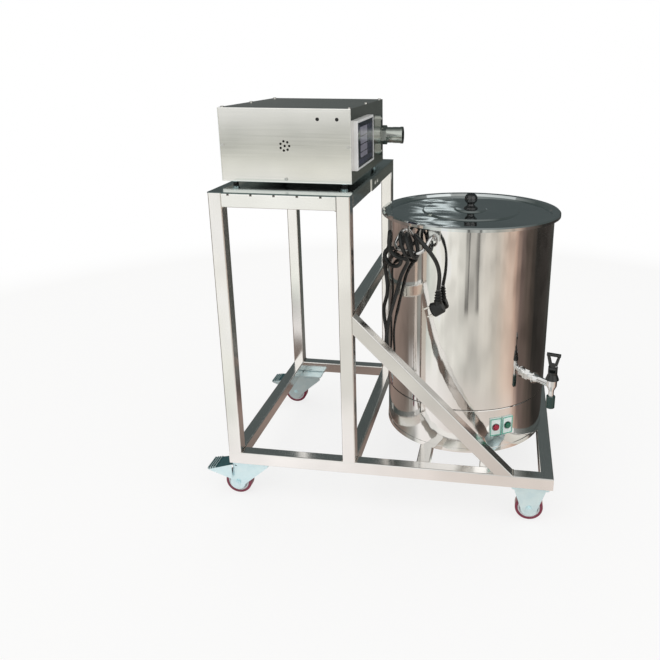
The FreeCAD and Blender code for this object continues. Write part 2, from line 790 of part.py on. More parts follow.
def make_handles():
    """Two rod handles, each welded at both ends to a small plate on the barrel."""
    rods, plates = [], []
    thick, wide, high = bracket_size
    level = rim_top - handle_drop
    out = barrel_radius + handle_reach
    for angle in (handle_angle, handle_angle + 180):
        half = handle_span / 2
        wall = math.sqrt(barrel_radius ** 2 - half ** 2)
        tilt = math.degrees(math.asin(half / barrel_radius))
        face = barrel_radius + thick + handle_weld
        top = level + handle_rise
        left, right = [
            [barrel_point(angle + side * tilt, face, top),
             round_point(angle, wall + handle_knee_out, side * half, top - handle_knee_fall),
             round_point(angle, out, side * half, level)]
            for side in (-1, 1)
        ]
        rods.append(bent_rod(handle_rod_radius, left + right[::-1])[0])
        for side in (-1, 1):
            plate = block((barrel_radius, -wide / 2, top - high / 2),
                          (barrel_radius + thick, wide / 2, top + high / 2))
            plates.append(round_barrel(plate, angle + side * tilt))
    add("barrel_handles", *rods)
    add("handle_brackets", *plates)


def round_point(angle, out, across, height):
    """A point out from the barrel's axis and across, as seen along the given angle."""
    turn = math.radians(angle)
    x = barrel_x + out * math.sin(turn) + across * math.cos(turn)
    y = barrel_y - out * math.cos(turn) + across * math.sin(turn)
    return Vector(x, y, height)


# --- tap -------------------------------------------------------------------------------------
def make_tap():
    """Drawn with +X outwards from the barrel's axis and the tap's own axis at tap_z."""
    middle = barrel_radius + tap_reach
    wall = (barrel_radius, 0, tap_z)
    inside = barrel_radius - skin - tap_shank_inside

    def level(height):
        return (middle, 0, tap_z + height)

    def along(distance):
        return (barrel_radius + distance, 0, tap_z)

    flange_end = tap_shank_length + tap_flange_length
    shank = rod(tap_shank_radius, (inside, 0, tap_z), along(tap_shank_length))
    body = shank.fuse(rod(tap_flange_radius, along(tap_shank_length), along(flange_end)))
    body = body.fuse(cone(tap_cone_radius, tap_pipe_radius, along(flange_end),
                          along(flange_end + tap_cone_length)))
    body = body.fuse(rod(tap_pipe_radius, wall, level(0)))
    body = body.fuse(rod(tap_body_radius, level(tap_shoulder), level(tap_body_top)))
    body = body.fuse(cone(tap_body_radius, spout_radius, level(tap_shoulder), level(tap_body_bottom)))
    body = body.fuse(rod(spout_radius, level(spout_bottom), level(tap_body_bottom)))
    body = body.cut(rod(tap_bore_radius, (inside - over, 0, tap_z), level(0)))
    body = body.cut(rod(seat_radius + seat_play, level(tap_seat), level(tap_body_top + over)))
    body = body.cut(rod(tap_bore_radius, level(spout_bottom - over), level(0)))
    add("tap_body", round_barrel(body, tap_angle))

    outside = hexagon(tap_nut_radius, wall, along(tap_nut_length))
    inner_face = -skin - pan_play
    nut = hexagon(tap_nut_radius, along(inner_face - tap_nut_length), along(inner_face))
    add("tap_nuts", *[round_barrel(ring.cut(shank), tap_angle) for ring in (outside, nut)])

    foot_top = tap_body_top + bonnet_foot_height
    bonnet = cone(bonnet_foot_radius, bonnet_neck_radius, level(tap_body_top), level(foot_top))
    bonnet = bonnet.fuse(rod(bonnet_neck_radius, level(foot_top), level(bonnet_top)))

    def slab(half):
        return block((middle - ear_half_width, -half, tap_z),
                     (middle + ear_half_width, half, tap_z + ear_top))

    ears = rod(bonnet_neck_radius, level(bonnet_top), level(ear_top))
    ears = ears.common(slab(bonnet_neck_radius)).cut(slab(ear_gap / 2))
    pivot = Vector(middle, 0, tap_z + lever_pivot)
    reach = bonnet_neck_radius + over
    pin_bore = rod(lever_pin_radius + running, (middle, -reach, pivot.z), (middle, reach, pivot.z))
    bonnet = bonnet.fuse(ears).cut(pin_bore)
    bonnet = bonnet.cut(rod(stem_radius + running, level(tap_body_top - over), level(ear_top)))
    lever = make_lever(middle, pivot)
    for name, shape in (("tap_bonnet", bonnet), ("tap_lever", lever)):
        shape.rotate(Vector(*level(0)), UP, tap_turn)
        add(name, round_barrel(shape, tap_angle))

    stem_top = lever_pivot - lever_hub_radius - stem_gap - stem_lift
    stem = rod(stem_radius, level(tap_seat), level(stem_top))
    stem = stem.fuse(rod(seat_radius, level(tap_seat), level(tap_seat + seat_thick)))
    add("tap_stem", round_barrel(stem, tap_angle))

    nozzle = rod(nozzle_radius, level(nozzle_bottom), level(nozzle_top))
    nozzle = nozzle.cut(rod(spout_radius, level(spout_bottom), level(nozzle_top + over)))
    nozzle = nozzle.cut(rod(nozzle_bore_radius, level(nozzle_bottom - over), level(nozzle_top)))
    add("tap_nozzle", round_barrel(nozzle, tap_angle))

    places["tap_lever"] = round_barrel(Part.Vertex(pivot), tap_angle).Vertexes[0].Point
    turn = math.radians(tap_angle + tap_turn)
    places["tap_lever_axis"] = Vector(math.cos(turn), math.sin(turn), 0)
    places["tap_spout_end"] = round_point(tap_angle, middle, 0, tap_z + nozzle_bottom)


def make_lever(middle, pivot):
    """Loop lever: a hub on its pin between the ears, a neck, two arms and a round grip."""
    hub_half = ear_gap / 2 - side_play
    lever = rod(lever_hub_radius, (middle, -hub_half, pivot.z), (middle, hub_half, pivot.z))
    pin_half = bonnet_neck_radius - side_play
    lever = lever.fuse(rod(lever_pin_radius, (middle, -pin_half, pivot.z), (middle, pin_half, pivot.z)))
    half = lever_bar / 2
    foot = pivot.z + lever_foot_gap
    neck_half = hub_half - lever_neck_step
    lever = lever.fuse(block((middle - half, -neck_half, pivot.z),
                             (middle + half, neck_half, foot + lever_neck_lap)))
    grip_z = tap_z + lever_top - lever_grip_radius
    outer = [(-lever_foot_half, foot), (lever_foot_half, foot),
             (lever_half_width, grip_z), (-lever_half_width, grip_z)]
    foot_in = lever_foot_half - lever_arm
    top_in = lever_half_width - lever_arm
    inner = [(-foot_in, foot + lever_bar), (foot_in, foot + lever_bar), (top_in, grip_z), (-top_in, grip_z)]
    loop = prism([(middle - half, y, z) for y, z in outer], (lever_bar, 0, 0))
    hole = prism([(middle - half - over, y, z) for y, z in inner], (lever_bar + 2 * over, 0, 0))
    end = lever_half_width
    grip = rod(lever_grip_radius, (middle, -end, grip_z), (middle, end, grip_z))
    return lever.fuse(loop.cut(hole)).fuse(grip)


# --- switches --------------------------------------------------------------------------------
def make_switches():
    """Two plates with their switch cases behind, and a round push button in each."""
    thick, wide, high = switch_plate
    deep, case_wide, case_high = switch_case
    front = skirt_radius + thick
    plates = []
    for colour, angle in switch_angles.items():
        plate = block((skirt_radius, -wide / 2, switch_z - high / 2),
                      (front, wide / 2, switch_z + high / 2))
        case = block((skirt_radius - deep, -case_wide / 2, switch_z - case_high / 2),
                     (skirt_radius, case_wide / 2, switch_z + case_high / 2))
        back = front - button_depth
        bore = rod(button_radius + running, (back - button_travel - button_floor_play, 0, switch_z),
                   (front + over, 0, switch_z))
        plates.append(round_barrel(plate.fuse(case).cut(bore), angle))
        button = rod(button_radius, (back, 0, switch_z), (front + button_proud, 0, switch_z))
        rim = [e for e in button.Edges if len(e.Vertexes) == 1 and e.CenterOfMass.x > front]
        button = button.makeFillet(button_round, rim)
        add(colour + "_button", round_barrel(button, angle))
        turn = math.radians(angle)
        places[colour + "_button_inwards"] = Vector(-math.sin(turn), math.cos(turn), 0)
    add("switch_plates", *plates)


# --- cord ------------------------------------------------------------------------------------
# Route of the cord, chosen by hand: angle round the barrel, distance out from its wall, and
# height above the bearers. It leaves the gland at the back, climbs the left side to the handle,
# goes over it and hangs down in a long bight, comes back up through a small loop, winds twice
# round the handle and hangs down to the plug.
CORD_ROUTE = [
    (-140, 24, 52), (-140, 45, 52), (-135, 60, 66), (-127, 59, 92), (-121, 44, 122),
    (-117, 27, 156), (-114, 14, 196), (-111, 9, 242), (-107, 8, 286), (-101, 8, 328), (-93, 8, 368),
    (-84, 9, 402), (-76, 10.5, 426), (-68, 12, 444), (-61, 15, 460), (-55, 19, 477), (-50, 25, 496),
    (-46.5, 33, 515), (-44, 43, 526), (-41.6, 52, 517), (-41.3, 55, 499), (-41, 51, 481),
    (-38.5, 40, 469), (-36.3, 24, 465), (-37.2, 11, 455), (-41.5, 8, 436), (-45.8, 8, 412),
    (-49, 8, 380), (-53.8, 8.5, 343), (-58.5, 9.5, 308), (-63, 10.5, 276), (-65.3, 11, 248),
    (-65.2, 11, 225), (-63.6, 11, 206), (-65.1, 10.5, 189), (-69, 10, 182), (-72.6, 9.5, 190),
    (-72.2, 8.5, 208), (-69.6, 8, 228), (-69.5, 8, 252), (-74, 11, 276), (-75.5, 12, 302),
    (-70, 10, 326), (-66, 8.5, 348), (-65.5, 8, 370), (-68.5, 8.5, 390), (-69, 10, 409),
    (-64.5, 13, 427), (-57, 16, 440), (-51.3, 19, 457), (-45.8, 22, 470), (-39.8, 26, 467),
    (-38.8, 29, 451), (-43.5, 32, 441), (-49.5, 35, 447), (-52.3, 37, 463), (-49.8, 36, 477),
    (-46, 31, 483), (-42, 24.5, 484), (-38.8, 21, 498), (-37.8, 24, 517), (-36.8, 36, 527),
    (-34.5, 50, 518), (-32.3, 53.5, 498), (-31, 45, 478), (-31, 28, 477), (-32.5, 20.5, 495),
    (-33.5, 23, 516), (-33, 35, 528), (-30.5, 50, 521), (-28, 54.5, 502), (-26.5, 46, 479),
    (-26.5, 29, 477), (-28, 21, 495), (-28.8, 24, 516), (-27.5, 36, 528), (-24, 47, 525),
    (-19.8, 49, 512), (-16.4, 45, 493), (-14.2, 36, 473), (-13.5, 26, 450), (-13.9, 19, 427),
    (-14.8, 16, 407),
]


def make_cord():
    gland = rod(gland_flange_radius, (skirt_radius, 0, 0), (skirt_radius + gland_flange, 0, 0))
    gland = gland.fuse(cone(gland_radius, gland_tip_radius, (skirt_radius + gland_flange, 0, 0),
                            (barrel_radius + CORD_ROUTE[0][1], 0, 0)))
    gland.translate(Vector(0, 0, rail_top + CORD_ROUTE[0][2]))
    add("cord_gland", round_barrel(gland, CORD_ROUTE[0][0]))

    radii = []
    points = [barrel_point(a, barrel_radius + out, rail_top + up) for a, out, up in CORD_ROUTE]
    cord, length = bent_rod(cord_radius, points, radii)
    add("power_cord", cord)
    print("cord length %.0f mm, volume against section x length %.4f"
          % (length, cord.Volume / (math.pi * cord_radius ** 2 * length)))
    print("cord bend radii, mm:", ", ".join("%.0f" % r for r in radii))
    runs = [(b - a).Length for a, b in zip(points, points[1:])]
    print("cord runs, mm:", ", ".join("%.0f" % r for r in runs))

    fall = points[-1] - points[-2]
    end = points[-1] - UP * (cord_radius * math.sin(fall.getAngle(-UP)) + relief_play)
    relief = Part.makeCone(cord_radius + relief_step, relief_radius, relief_length, end, -UP)
    angle = CORD_ROUTE[-1][0]
    centre = end - UP * (relief_length + plug_radius - plug_sink)
    turn = math.radians(angle)
    sideways = Vector(-math.cos(turn), -math.sin(turn), 0)
    tilt = math.radians(plug_tilt)
    pins_way = sideways * math.cos(tilt) - UP * math.sin(tilt)
    body = Part.makeCylinder(plug_radius, plug_length, centre - pins_way * (plug_length / 2), pins_way)
    outward = Vector(math.sin(turn), -math.cos(turn), 0)
    reach = 2 * plug_radius
    slab = block((-reach, -reach, -plug_half), (reach, reach, plug_half))
    slab.Placement = Placement(centre, Rotation(UP, outward))
    add("plug_body", body.common(slab).fuse(relief))
    face = centre + pins_way * (plug_length / 2)
    across = pins_way.cross(outward)
    pins = []
    for side in (-1, 1):
        start = face + across * (side * pin_pitch / 2)
        pins.append(Part.makeCylinder(pin_radius, pin_length, start, pins_way))
    add("plug_pins", *pins)


# --- dosing box ------------------------------------------------------------------------------
def screw(at, inward):
    """Pan head screw: at is the outside face, inward its direction."""
    head = Part.makeCylinder(screw_head_radius, screw_head, at - inward * screw_head, inward)
    return head.fuse(Part.makeCylinder(screw_radius, screw_length, at, inward))


def cover_screw_places():
    for x in (box_left + screw_edge, box_right - screw_edge):
        for y in (box_front + screw_end, (box_front + box_back) / 2, box_back - screw_end):
            yield Vector(x, y, box_top)


def panel_screw_places():
    middle_z = (box_bottom + box_top) / 2
    yield Vector(box_left + screw_edge, box_front, middle_z)
    yield Vector(box_right - screw_edge, box_front, middle_z)
    yield Vector((box_left + box_right) / 2, box_front, box_bottom + box_skin + screw_edge)


def foot_places():
    for x in (box_left + foot_inset, box_right - foot_inset):
        for y in (box_front + foot_inset, box_back - foot_inset):
            yield x, y


def port_flange_holes():
    return [side * port_ear_pitch / 2 for side in (-1, 1)]


def housing_cuts():
    """Tools for the screen's window, the two ports, the mains inlet and the vents."""
    in_x, out_x = box_right - cut_reach, box_right + over
    in_y, out_y = box_back - cut_reach, box_back + over
    (y0, y1), (z0, z1) = screen_opening()
    yield block((in_x, y0, z0), (out_x, y1, z1))
    port_y = box_front + port_back
    port_x = box_left + inlet_x
    for dz, radius in [(0, port_hole_radius)] + [(dz, screw_radius) for dz in port_flange_holes()]:
        z = port_z + dz
        yield rod(radius, (in_x, port_y, z), (out_x, port_y, z))
        yield rod(radius, (port_x, in_y, z), (port_x, out_y, z))
    x, z = box_left + socket_x, box_bottom + socket_z
    wide, high = [v / 2 - socket_rim for v in socket_size]
    yield block((x - wide, in_y, z - high), (x + wide, out_y, z + high))
    for i in range(vent_count):
        x, z = box_left + vent_x + i * vent_pitch, box_bottom + vent_z
        yield block((x, in_y, z), (x + vent_size[0], out_y, z + vent_size[1]))


def screen_opening():
    """The y and z ranges of the hole that the bezel frames."""
    y_range = [box_front + bezel_y[0] + bezel_border, box_front + bezel_y[1] - bezel_border]
    z_range = [box_bottom + bezel_z[0] + bezel_border, box_bottom + bezel_z[1] - bezel_border]
    return y_range, z_range


def make_housing():
    """Floor, back and sides folded from one sheet, with flanges for the panel and the cover."""
    s = box_skin
    low = (box_left, box_front + s, box_bottom)
    high = (box_right, box_back, box_top - s)
    shell = block(low, high).cut(
        block((low[0] + s, low[1] - over, low[2] + s), (high[0] - s, high[1] - s, high[2] + over)))
    for x0, x1 in ((low[0] + s, low[0] + flange_width), (high[0] - flange_width, high[0] - s)):
        shell = shell.fuse(block((x0, low[1], high[2] - s), (x1, high[1] - s, high[2])))
        shell = shell.fuse(block((x0, low[1], low[2] + s), (x1, low[1] + s, high[2])))
    shell = shell.fuse(block((low[0] + s, low[1], low[2] + s),
                             (high[0] - s, low[1] + s, low[2] + flange_width)))
    for at in cover_screw_places():
        shell = shell.cut(Part.makeCylinder(screw_radius, screw_length, at, -UP))
    for at in panel_screw_places():
        shell = shell.cut(Part.makeCylinder(screw_radius, screw_length, at, BACK))
    for tool in housing_cuts():
        shell = shell.cut(tool)
    add("box_housing", shell)


def make_box():
    make_housing()
    s = box_skin
    panel = block((box_left, box_front, box_bottom), (box_right, box_front + s, box_top))
    centre_x = box_left + sound_centre[0] * box_width
    centre_z = box_bottom + sound_centre[1] * box_height
    holes = [(centre_x, centre_z)]
    for i in range(sound_hole_count):
        turn = 2 * math.pi * i / sound_hole_count
        holes.append((centre_x + sound_ring_radius * math.cos(turn),
                      centre_z + sound_ring_radius * math.sin(turn)))
    for x, z in holes:
        panel = panel.cut(rod(sound_hole_radius, (x, box_front - over, z), (x, box_front + cut_reach, z)))
    for x in lamp_hole_x:
        x, z = box_left + x, box_top - lamp_hole_drop
        panel = panel.cut(rod(lamp_hole_radius, (x, box_front - over, z), (x, box_front + cut_reach, z)))
    screws = []
    for at in panel_screw_places():
        panel = panel.cut(Part.makeCylinder(screw_radius, cut_reach, at, BACK))
        screws.append(screw(at, BACK))
    add("front_panel", panel)

    cover = block((box_left, box_front + s, box_top - s), (box_right, box_back, box_top))
    for at in cover_screw_places():
        cover = cover.cut(Part.makeCylinder(screw_radius, cut_reach, at, -UP))
        screws.append(screw(at, -UP))
    add("top_cover", cover)
    add("box_feet", *[rod(foot_radius, (x, y, sheet_top), (x, y, box_bottom)) for x, y in foot_places()])

    make_screen()
    screws += make_ports()
    add("box_screws", *screws)
    make_socket()


def make_screen():
    y0, y1 = (box_front + v for v in bezel_y)
    z0, z1 = (box_bottom + v for v in bezel_z)
    face = box_right + bezel_proud
    bezel = block((box_right, y0, z0), (face, y1, z1))
    edges = [e for e in bezel.Edges if e.CenterOfMass.x > face - bezel_round]
    bezel = bezel.makeFillet(bezel_round, [e for e in edges if abs(e.tangentAt(0).x) < 0.5])
    (y0, y1), (z0, z1) = screen_opening()
    add("screen_bezel", bezel.cut(block((box_right - over, y0, z0), (face + over, y1, z1))))
    add("touch_screen", block((box_right - screen_module_depth, y0, z0), (face - screen_recess, y1, z1)))


def make_port():
    """Flange and pipe of a wax port, drawn along +X from the origin, and its two screws."""
    flange = rod(port_flange_radius, (0, 0, 0), (port_flange_thick, 0, 0))
    half = port_ear_pitch / 2
    for z in port_flange_holes():
        flange = flange.fuse(rod(port_ear_radius, (0, 0, z), (port_flange_thick, 0, z)))
    flange = flange.fuse(block((0, -port_ear_radius, -half), (port_flange_thick, port_ear_radius, half)))
    neck_end = port_flange_thick + pipe_neck_length
    end = port_flange_thick + pipe_length
    for z in port_flange_holes():
        flange = flange.cut(rod(screw_radius, (-over, 0, z), (port_flange_thick + over, 0, z)))
    bore = rod(pipe_bore_radius, (-over, 0, 0), (end + over, 0, 0))
    foot = (port_flange_thick, 0, 0)
    pipe = hexagon(pipe_hexagon_radius, foot, (port_flange_thick + pipe_hexagon, 0, 0))
    pipe = pipe.fuse(rod(pipe_neck_radius, foot, (neck_end, 0, 0)))
    pipe = pipe.fuse(rod(pipe_radius - pipe_lip_step, (neck_end, 0, 0), (end - pipe_lip, 0, 0)))
    pipe = pipe.fuse(rod(pipe_radius, (end - pipe_lip, 0, 0), (end, 0, 0)))
    inward = Vector(-1, 0, 0)
    screws = [screw(Vector(port_flange_thick, 0, z), inward) for z in port_flange_holes()]
    return flange.cut(bore), pipe.cut(bore), screws


def make_ports():
    """Wax outlet on the right side and wax inlet at the back, of the same parts."""
    outlet = Placement(Vector(box_right, box_front + port_back, port_z), Rotation())
    inlet = Placement(Vector(box_left + inlet_x, box_back, port_z), Rotation(UP, 90))
    flange, pipe, screws = make_port()

    def placed(shape, where):
        moved = shape.copy()
        moved.Placement = where
        return moved

    add("port_flanges", placed(flange, outlet), placed(flange, inlet))
    add("port_pipes", placed(pipe, outlet), placed(pipe, inlet))
    places["outlet_end"] = outlet.multVec(Vector(port_flange_thick + pipe_length, 0, 0))
    places["inlet_end"] = inlet.multVec(Vector(port_flange_thick + pipe_length, 0, 0))
    return [placed(one, where) for where in (outlet, inlet) for one in screws]


def make_socket():
    """Mains inlet: a rim outside the back, a case inside it, and the hollow for the connector."""
    half_wide, half_high = [v / 2 for v in socket_size]
    x, z = box_left + socket_x, box_bottom + socket_z

    def piece(in_x, in_z, y0, y1):
        wide, high = half_wide - in_x, half_high - in_z
        return block((x - wide, y0, z - high), (x + wide, y1, z + high))

    face = box_back + socket_rim
    socket = piece(0, 0, box_back, face)
    socket = socket.fuse(piece(socket_rim, socket_rim, box_back - socket_depth, box_back))
    hollow = piece(socket_side_wall, socket_top_wall, box_back - socket_hollow, face + over)
    add("mains_inlet", socket.cut(hollow))


# --- pump, motor and electrics ---------------------------------------------------------------
def gear_outline(turn_start):
    """Involute gear outline as (y, z) points about its own centre."""
    pressure = math.radians(gear_pressure)
    pitch = gear_module * gear_teeth / 2
    base = pitch * math.cos(pressure)
    tip = pitch + gear_module * gear_addendum
    root = pitch - gear_module * gear_dedendum
    half_tooth = math.pi / (2 * gear_teeth) - gear_backlash / (2 * pitch)
    spread = math.tan(pressure) - pressure
    flank = []
    for i in range(flank_points):
        radius = base + (tip - base) * i / (flank_points - 1)
        roll = math.acos(min(1.0, base / radius))
        flank.append((radius, half_tooth + spread - (math.tan(roll) - roll)))
    flank.insert(0, (root, flank[0][1]))
    outline = []
    for tooth in range(gear_teeth):
        middle = turn_start + 2 * math.pi * tooth / gear_teeth
        outline += [(r, middle - a) for r, a in flank] + [(r, middle + a) for r, a in reversed(flank)]
    return [(r * math.cos(a), r * math.sin(a)) for r, a in outline]


def make_gear(x, y, z, turn_start):
    points = [(x, y + py, z + pz) for py, pz in gear_outline(turn_start)]
    return prism(points, (gear_width, 0, 0))


def make_pump():
    """Gear pump behind the outlet, with its two gears, and its motor beside it."""
    y = box_front + port_back
    floor = box_bottom + box_skin
    distance = gear_module * gear_teeth
    lower_z, upper_z = port_z - distance / 2, port_z + distance / 2
    right = box_right - box_skin
    left = right - pump_length
    gear_x = left + (pump_length - gear_width) / 2
    tip = distance / 2 + gear_module * gear_addendum
    body = block((left, y - pump_depth / 2, floor), (right, y + pump_depth / 2, upper_z + tip + pump_wall))
    for z in (lower_z, upper_z):
        body = body.cut(rod(tip + gear_tip_play, (gear_x - gear_side_play, y, z),
                            (gear_x + gear_width + gear_side_play, y, z)))
    shaft_end = right - shaft_wall
    driven_start = left + shaft_wall
    body = body.cut(rod(shaft_radius + running, (left - over, y, lower_z), (shaft_end, y, lower_z)))
    body = body.cut(rod(shaft_radius + running, (driven_start, y, upper_z), (shaft_end, y, upper_z)))
    body = body.cut(rod(shaft_radius, (gear_x + gear_width, y, port_z), (right + over, y, port_z)))
    add("pump_body", body)

    motor_right = left - motor_gap
    drive = make_gear(gear_x, y, lower_z, math.pi / 2)
    drive_start = motor_right - motor_socket + 2 * shaft_play
    drive = drive.fuse(rod(shaft_radius, (drive_start, y, lower_z), (shaft_end - shaft_play, y, lower_z)))
    add("drive_gear", drive)
    driven = make_gear(gear_x, y, upper_z, -math.pi / 2 + math.pi / gear_teeth)
    driven = driven.fuse(rod(shaft_radius, (driven_start + shaft_play, y, upper_z),
                             (shaft_end - shaft_play, y, upper_z)))
    add("driven_gear", driven)
    places["drive_gear"] = Vector(gear_x, y, lower_z)
    places["driven_gear"] = Vector(gear_x, y, upper_z)

    motor = rod(motor_radius, (motor_right - motor_length, y, lower_z), (motor_right, y, lower_z))
    motor = motor.fuse(block((motor_right - motor_length + motor_foot_inset, y - motor_radius, floor),
                             (motor_right - motor_foot_inset, y + motor_radius, lower_z)))
    socket = rod(shaft_radius + running, (motor_right - motor_socket, y, lower_z),
                 (motor_right + over, y, lower_z))
    add("pump_motor", motor.cut(socket))


def resting(place, size, level):
    """A block with its low corner at a place of the box's floor plan, standing on a level."""
    x, y = place
    return block((x, y, level), (x + size[0], y + size[1], level + size[2]))


def make_electrics():
    """Power supply on the box's floor, and the control board on four standoffs beside it."""
    floor = box_bottom + box_skin
    x, y = box_left + supply_place[0], box_front + supply_place[1]
    add("power_supply", resting((x, y), supply_size, floor))
    x += supply_size[0] + board_gap
    wide, deep, thick = board_size
    level = floor + standoff_height
    board = resting((x, y), board_size, level)
    for foot_x in (x + standoff_inset, x + wide - standoff_inset):
        for foot_y in (y + standoff_inset, y + deep - standoff_inset):
            board = board.fuse(rod(standoff_radius, (foot_x, foot_y, floor), (foot_x, foot_y, level)))
    for place, size in ((relay_place, relay_size), (choke_place, choke_size)):
        board = board.fuse(resting((x + place[0], y + place[1]), size, level + thick))
    add("control_board", board)


# --- write -----------------------------------------------------------------------------------
CORD_NODES = ("power_cord", "plug_body", "plug_pins")


def middle_of_footprint():
    """Middle of the box round everything but the cord and its plug, at floor level."""
    box = FreeCAD.BoundBox()
    for name, shape in nodes.items():
        if name not in CORD_NODES:
            box.add(shape.optimalBoundingBox(False))
    return Vector(box.Center.x, box.Center.y, 0)


def write_parts():
    os.makedirs("parts", exist_ok=True)
    origin = middle_of_footprint()
    print("origin from the frame corner, mm: %.3f %.3f" % (origin.x, origin.y))
    for name, shape in nodes.items():
        moved = shape.copy()
        moved.translate(-origin)
        moved.exportStep("parts/" + name + ".step")
    for name, place in places.items():
        if not name.endswith(("_axis", "_inwards")):
            place = place - origin
        print("place %s %.6f %.6f %.6f" % (name, place.x, place.y, place.z))


make_frame()
make_casters()
make_barrel()
make_heater()
make_lid()
make_handles()
make_tap()
make_switches()
make_cord()
make_box()
make_pump()
make_electrics()
write_parts()
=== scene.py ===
import math

import bpy
from mathutils import Matrix, Vector


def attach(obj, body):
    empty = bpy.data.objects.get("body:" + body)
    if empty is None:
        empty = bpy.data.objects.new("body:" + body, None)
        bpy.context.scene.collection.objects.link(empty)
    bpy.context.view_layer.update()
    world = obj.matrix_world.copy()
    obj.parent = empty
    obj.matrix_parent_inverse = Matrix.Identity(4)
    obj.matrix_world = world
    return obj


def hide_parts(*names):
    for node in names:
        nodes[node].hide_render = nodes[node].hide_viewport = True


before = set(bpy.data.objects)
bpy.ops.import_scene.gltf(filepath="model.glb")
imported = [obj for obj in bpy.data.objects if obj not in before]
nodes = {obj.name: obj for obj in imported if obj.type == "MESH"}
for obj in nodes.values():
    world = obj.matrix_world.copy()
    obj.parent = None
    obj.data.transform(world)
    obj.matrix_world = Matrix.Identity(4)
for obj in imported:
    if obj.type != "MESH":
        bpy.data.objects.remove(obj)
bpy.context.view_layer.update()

# --- camera, floor and studio ------------------------------------------------------------------
# The melter stands on a pale studio floor in soft white light. Polished steel shows what stands
# round it: a bright room in front, warm walls at the sides and a dim grey-green hall behind.
lens = bpy.data.cameras.new("studio_camera")
lens.lens = 38.05
lens.sensor_width = 36.0
lens.shift_x = -0.106
lens.shift_y = -0.0606
camera = bpy.data.objects.new("studio_camera", lens)
camera.location = (0.2668, -1.6518, 1.0107)
camera.rotation_euler = [math.radians(a) for a in (71.71, -0.16, 8.59)]
bpy.context.scene.collection.objects.link(camera)
bpy.context.scene.camera = camera
bpy.context.scene.view_settings.view_transform = "Standard"

# The barrel's upright axis. The barrel is the largest mirror, so the room is laid out round it.
barrel_x = 0.1894
barrel_y = 0.0


def socket_math(tree, operation, *values):
    """Math node; each value is an output or a number."""
    node = tree.nodes.new("ShaderNodeMath")
    node.operation = operation
    for socket, value in zip(node.inputs, values):
        if isinstance(value, (int, float)):
            socket.default_value = value
        else:
            tree.links.new(value, socket)
    return node.outputs[0]


def smooth_step(tree, value, low, high):
    """0 below low, 1 above high, with a soft change between them."""
    node = tree.nodes.new("ShaderNodeMapRange")
    node.interpolation_type = "SMOOTHSTEP"
    tree.links.new(value, node.inputs["Value"])
    node.inputs["From Min"].default_value = low
    node.inputs["From Max"].default_value = high
    return node.outputs["Result"]


def colour_ramp(tree, value, stops):
    """Colour by a value from 0 to 1, through (place, colour) stops."""
    node = tree.nodes.new("ShaderNodeValToRGB")
    ramp = node.color_ramp
    while len(ramp.elements) < len(stops):
        ramp.elements.new(0.5)
    for element, (place, colour) in zip(ramp.elements, stops):
        element.position = place
        element.color = (*colour, 1.0)
    tree.links.new(value, node.inputs["Fac"])
    return node.outputs["Color"]


def mix_colours(tree, amount, first, second, blend="MIX"):
    """Mix node of two colours, each an output or three numbers."""
    node = tree.nodes.new("ShaderNodeMix")
    node.data_type = "RGBA"
    node.blend_type = blend
    for place, value in ((0, amount), (6, first), (7, second)):
        if isinstance(value, tuple):
            node.inputs[place].default_value = (*value, 1.0)
        elif isinstance(value, (int, float)):
            node.inputs[place].default_value = value
        else:
            tree.links.new(value, node.inputs[place])
    return node.outputs[2]


def mix_shaders(tree, amount, first, second):
    """Mix of two shader nodes; gives its node."""
    node = tree.nodes.new("ShaderNodeMixShader")
    for socket, value in zip(node.inputs, (amount, first.outputs[0], second.outputs[0])):
        tree.links.new(value, socket)
    return node


def own_place(tree):
    """A piece's own coordinates."""
    return tree.nodes.new("ShaderNodeTexCoord").outputs["Object"]


def axes(tree, place):
    """The x, y and z of a place."""
    split = tree.nodes.new("ShaderNodeSeparateXYZ")
    tree.links.new(place, split.inputs[0])
    return split.outputs


def distance(tree, place, point):
    """How far a place is from a point."""
    node = tree.nodes.new("ShaderNodeVectorMath")
    node.operation = "DISTANCE"
    tree.links.new(place, node.inputs[0])
    node.inputs[1].default_value = point
    return node.outputs["Value"]


def noise_at(tree, place, scale, detail):
    """Noise by a place."""
    texture = tree.nodes.new("ShaderNodeTexNoise")
    texture.inputs["Scale"].default_value = scale
    texture.inputs["Detail"].default_value = detail
    tree.links.new(place, texture.inputs["Vector"])
    return texture.outputs["Fac"]


def mirrored_ray(tree, rays):
    """1 for a ray that polished metal or glass sends on."""
    glossy, through = rays.outputs["Is Glossy Ray"], rays.outputs["Is Transmission Ray"]
    return socket_math(tree, "MAXIMUM", glossy, through)


# Colour of the room by compass direction, in degrees from the front, + towards the tap's side.
ROOM = [
    (-180, (0.06, 0.07, 0.065)), (-152, (0.15, 0.155, 0.15)), (-135, (0.10, 0.08, 0.075)),
    (-118, (0.26, 0.20, 0.18)), (-104, (0.24, 0.19, 0.17)), (-80, (0.20, 0.165, 0.15)),
    (-70, (0.26, 0.24, 0.22)), (-62, (0.32, 0.33, 0.32)), (-56, (0.20, 0.21, 0.21)),
    (-50, (0.66, 0.71, 0.69)), (-34, (0.92, 0.94, 0.92)), (-16, (0.86, 0.87, 0.85)),
    (-7, (0.70, 0.71, 0.69)), (3, (0.62, 0.62, 0.60)), (13, (0.62, 0.62, 0.60)),
    (24, (0.70, 0.69, 0.66)), (40, (0.55, 0.52, 0.48)), (55, (0.66, 0.54, 0.47)),
    (66, (0.52, 0.38, 0.32)), (74, (0.16, 0.12, 0.11)), (86, (0.10, 0.08, 0.07)),
    (104, (0.03, 0.028, 0.026)), (128, (0.04, 0.036, 0.034)), (150, (0.055, 0.055, 0.052)),
    (180, (0.06, 0.07, 0.065)),
]


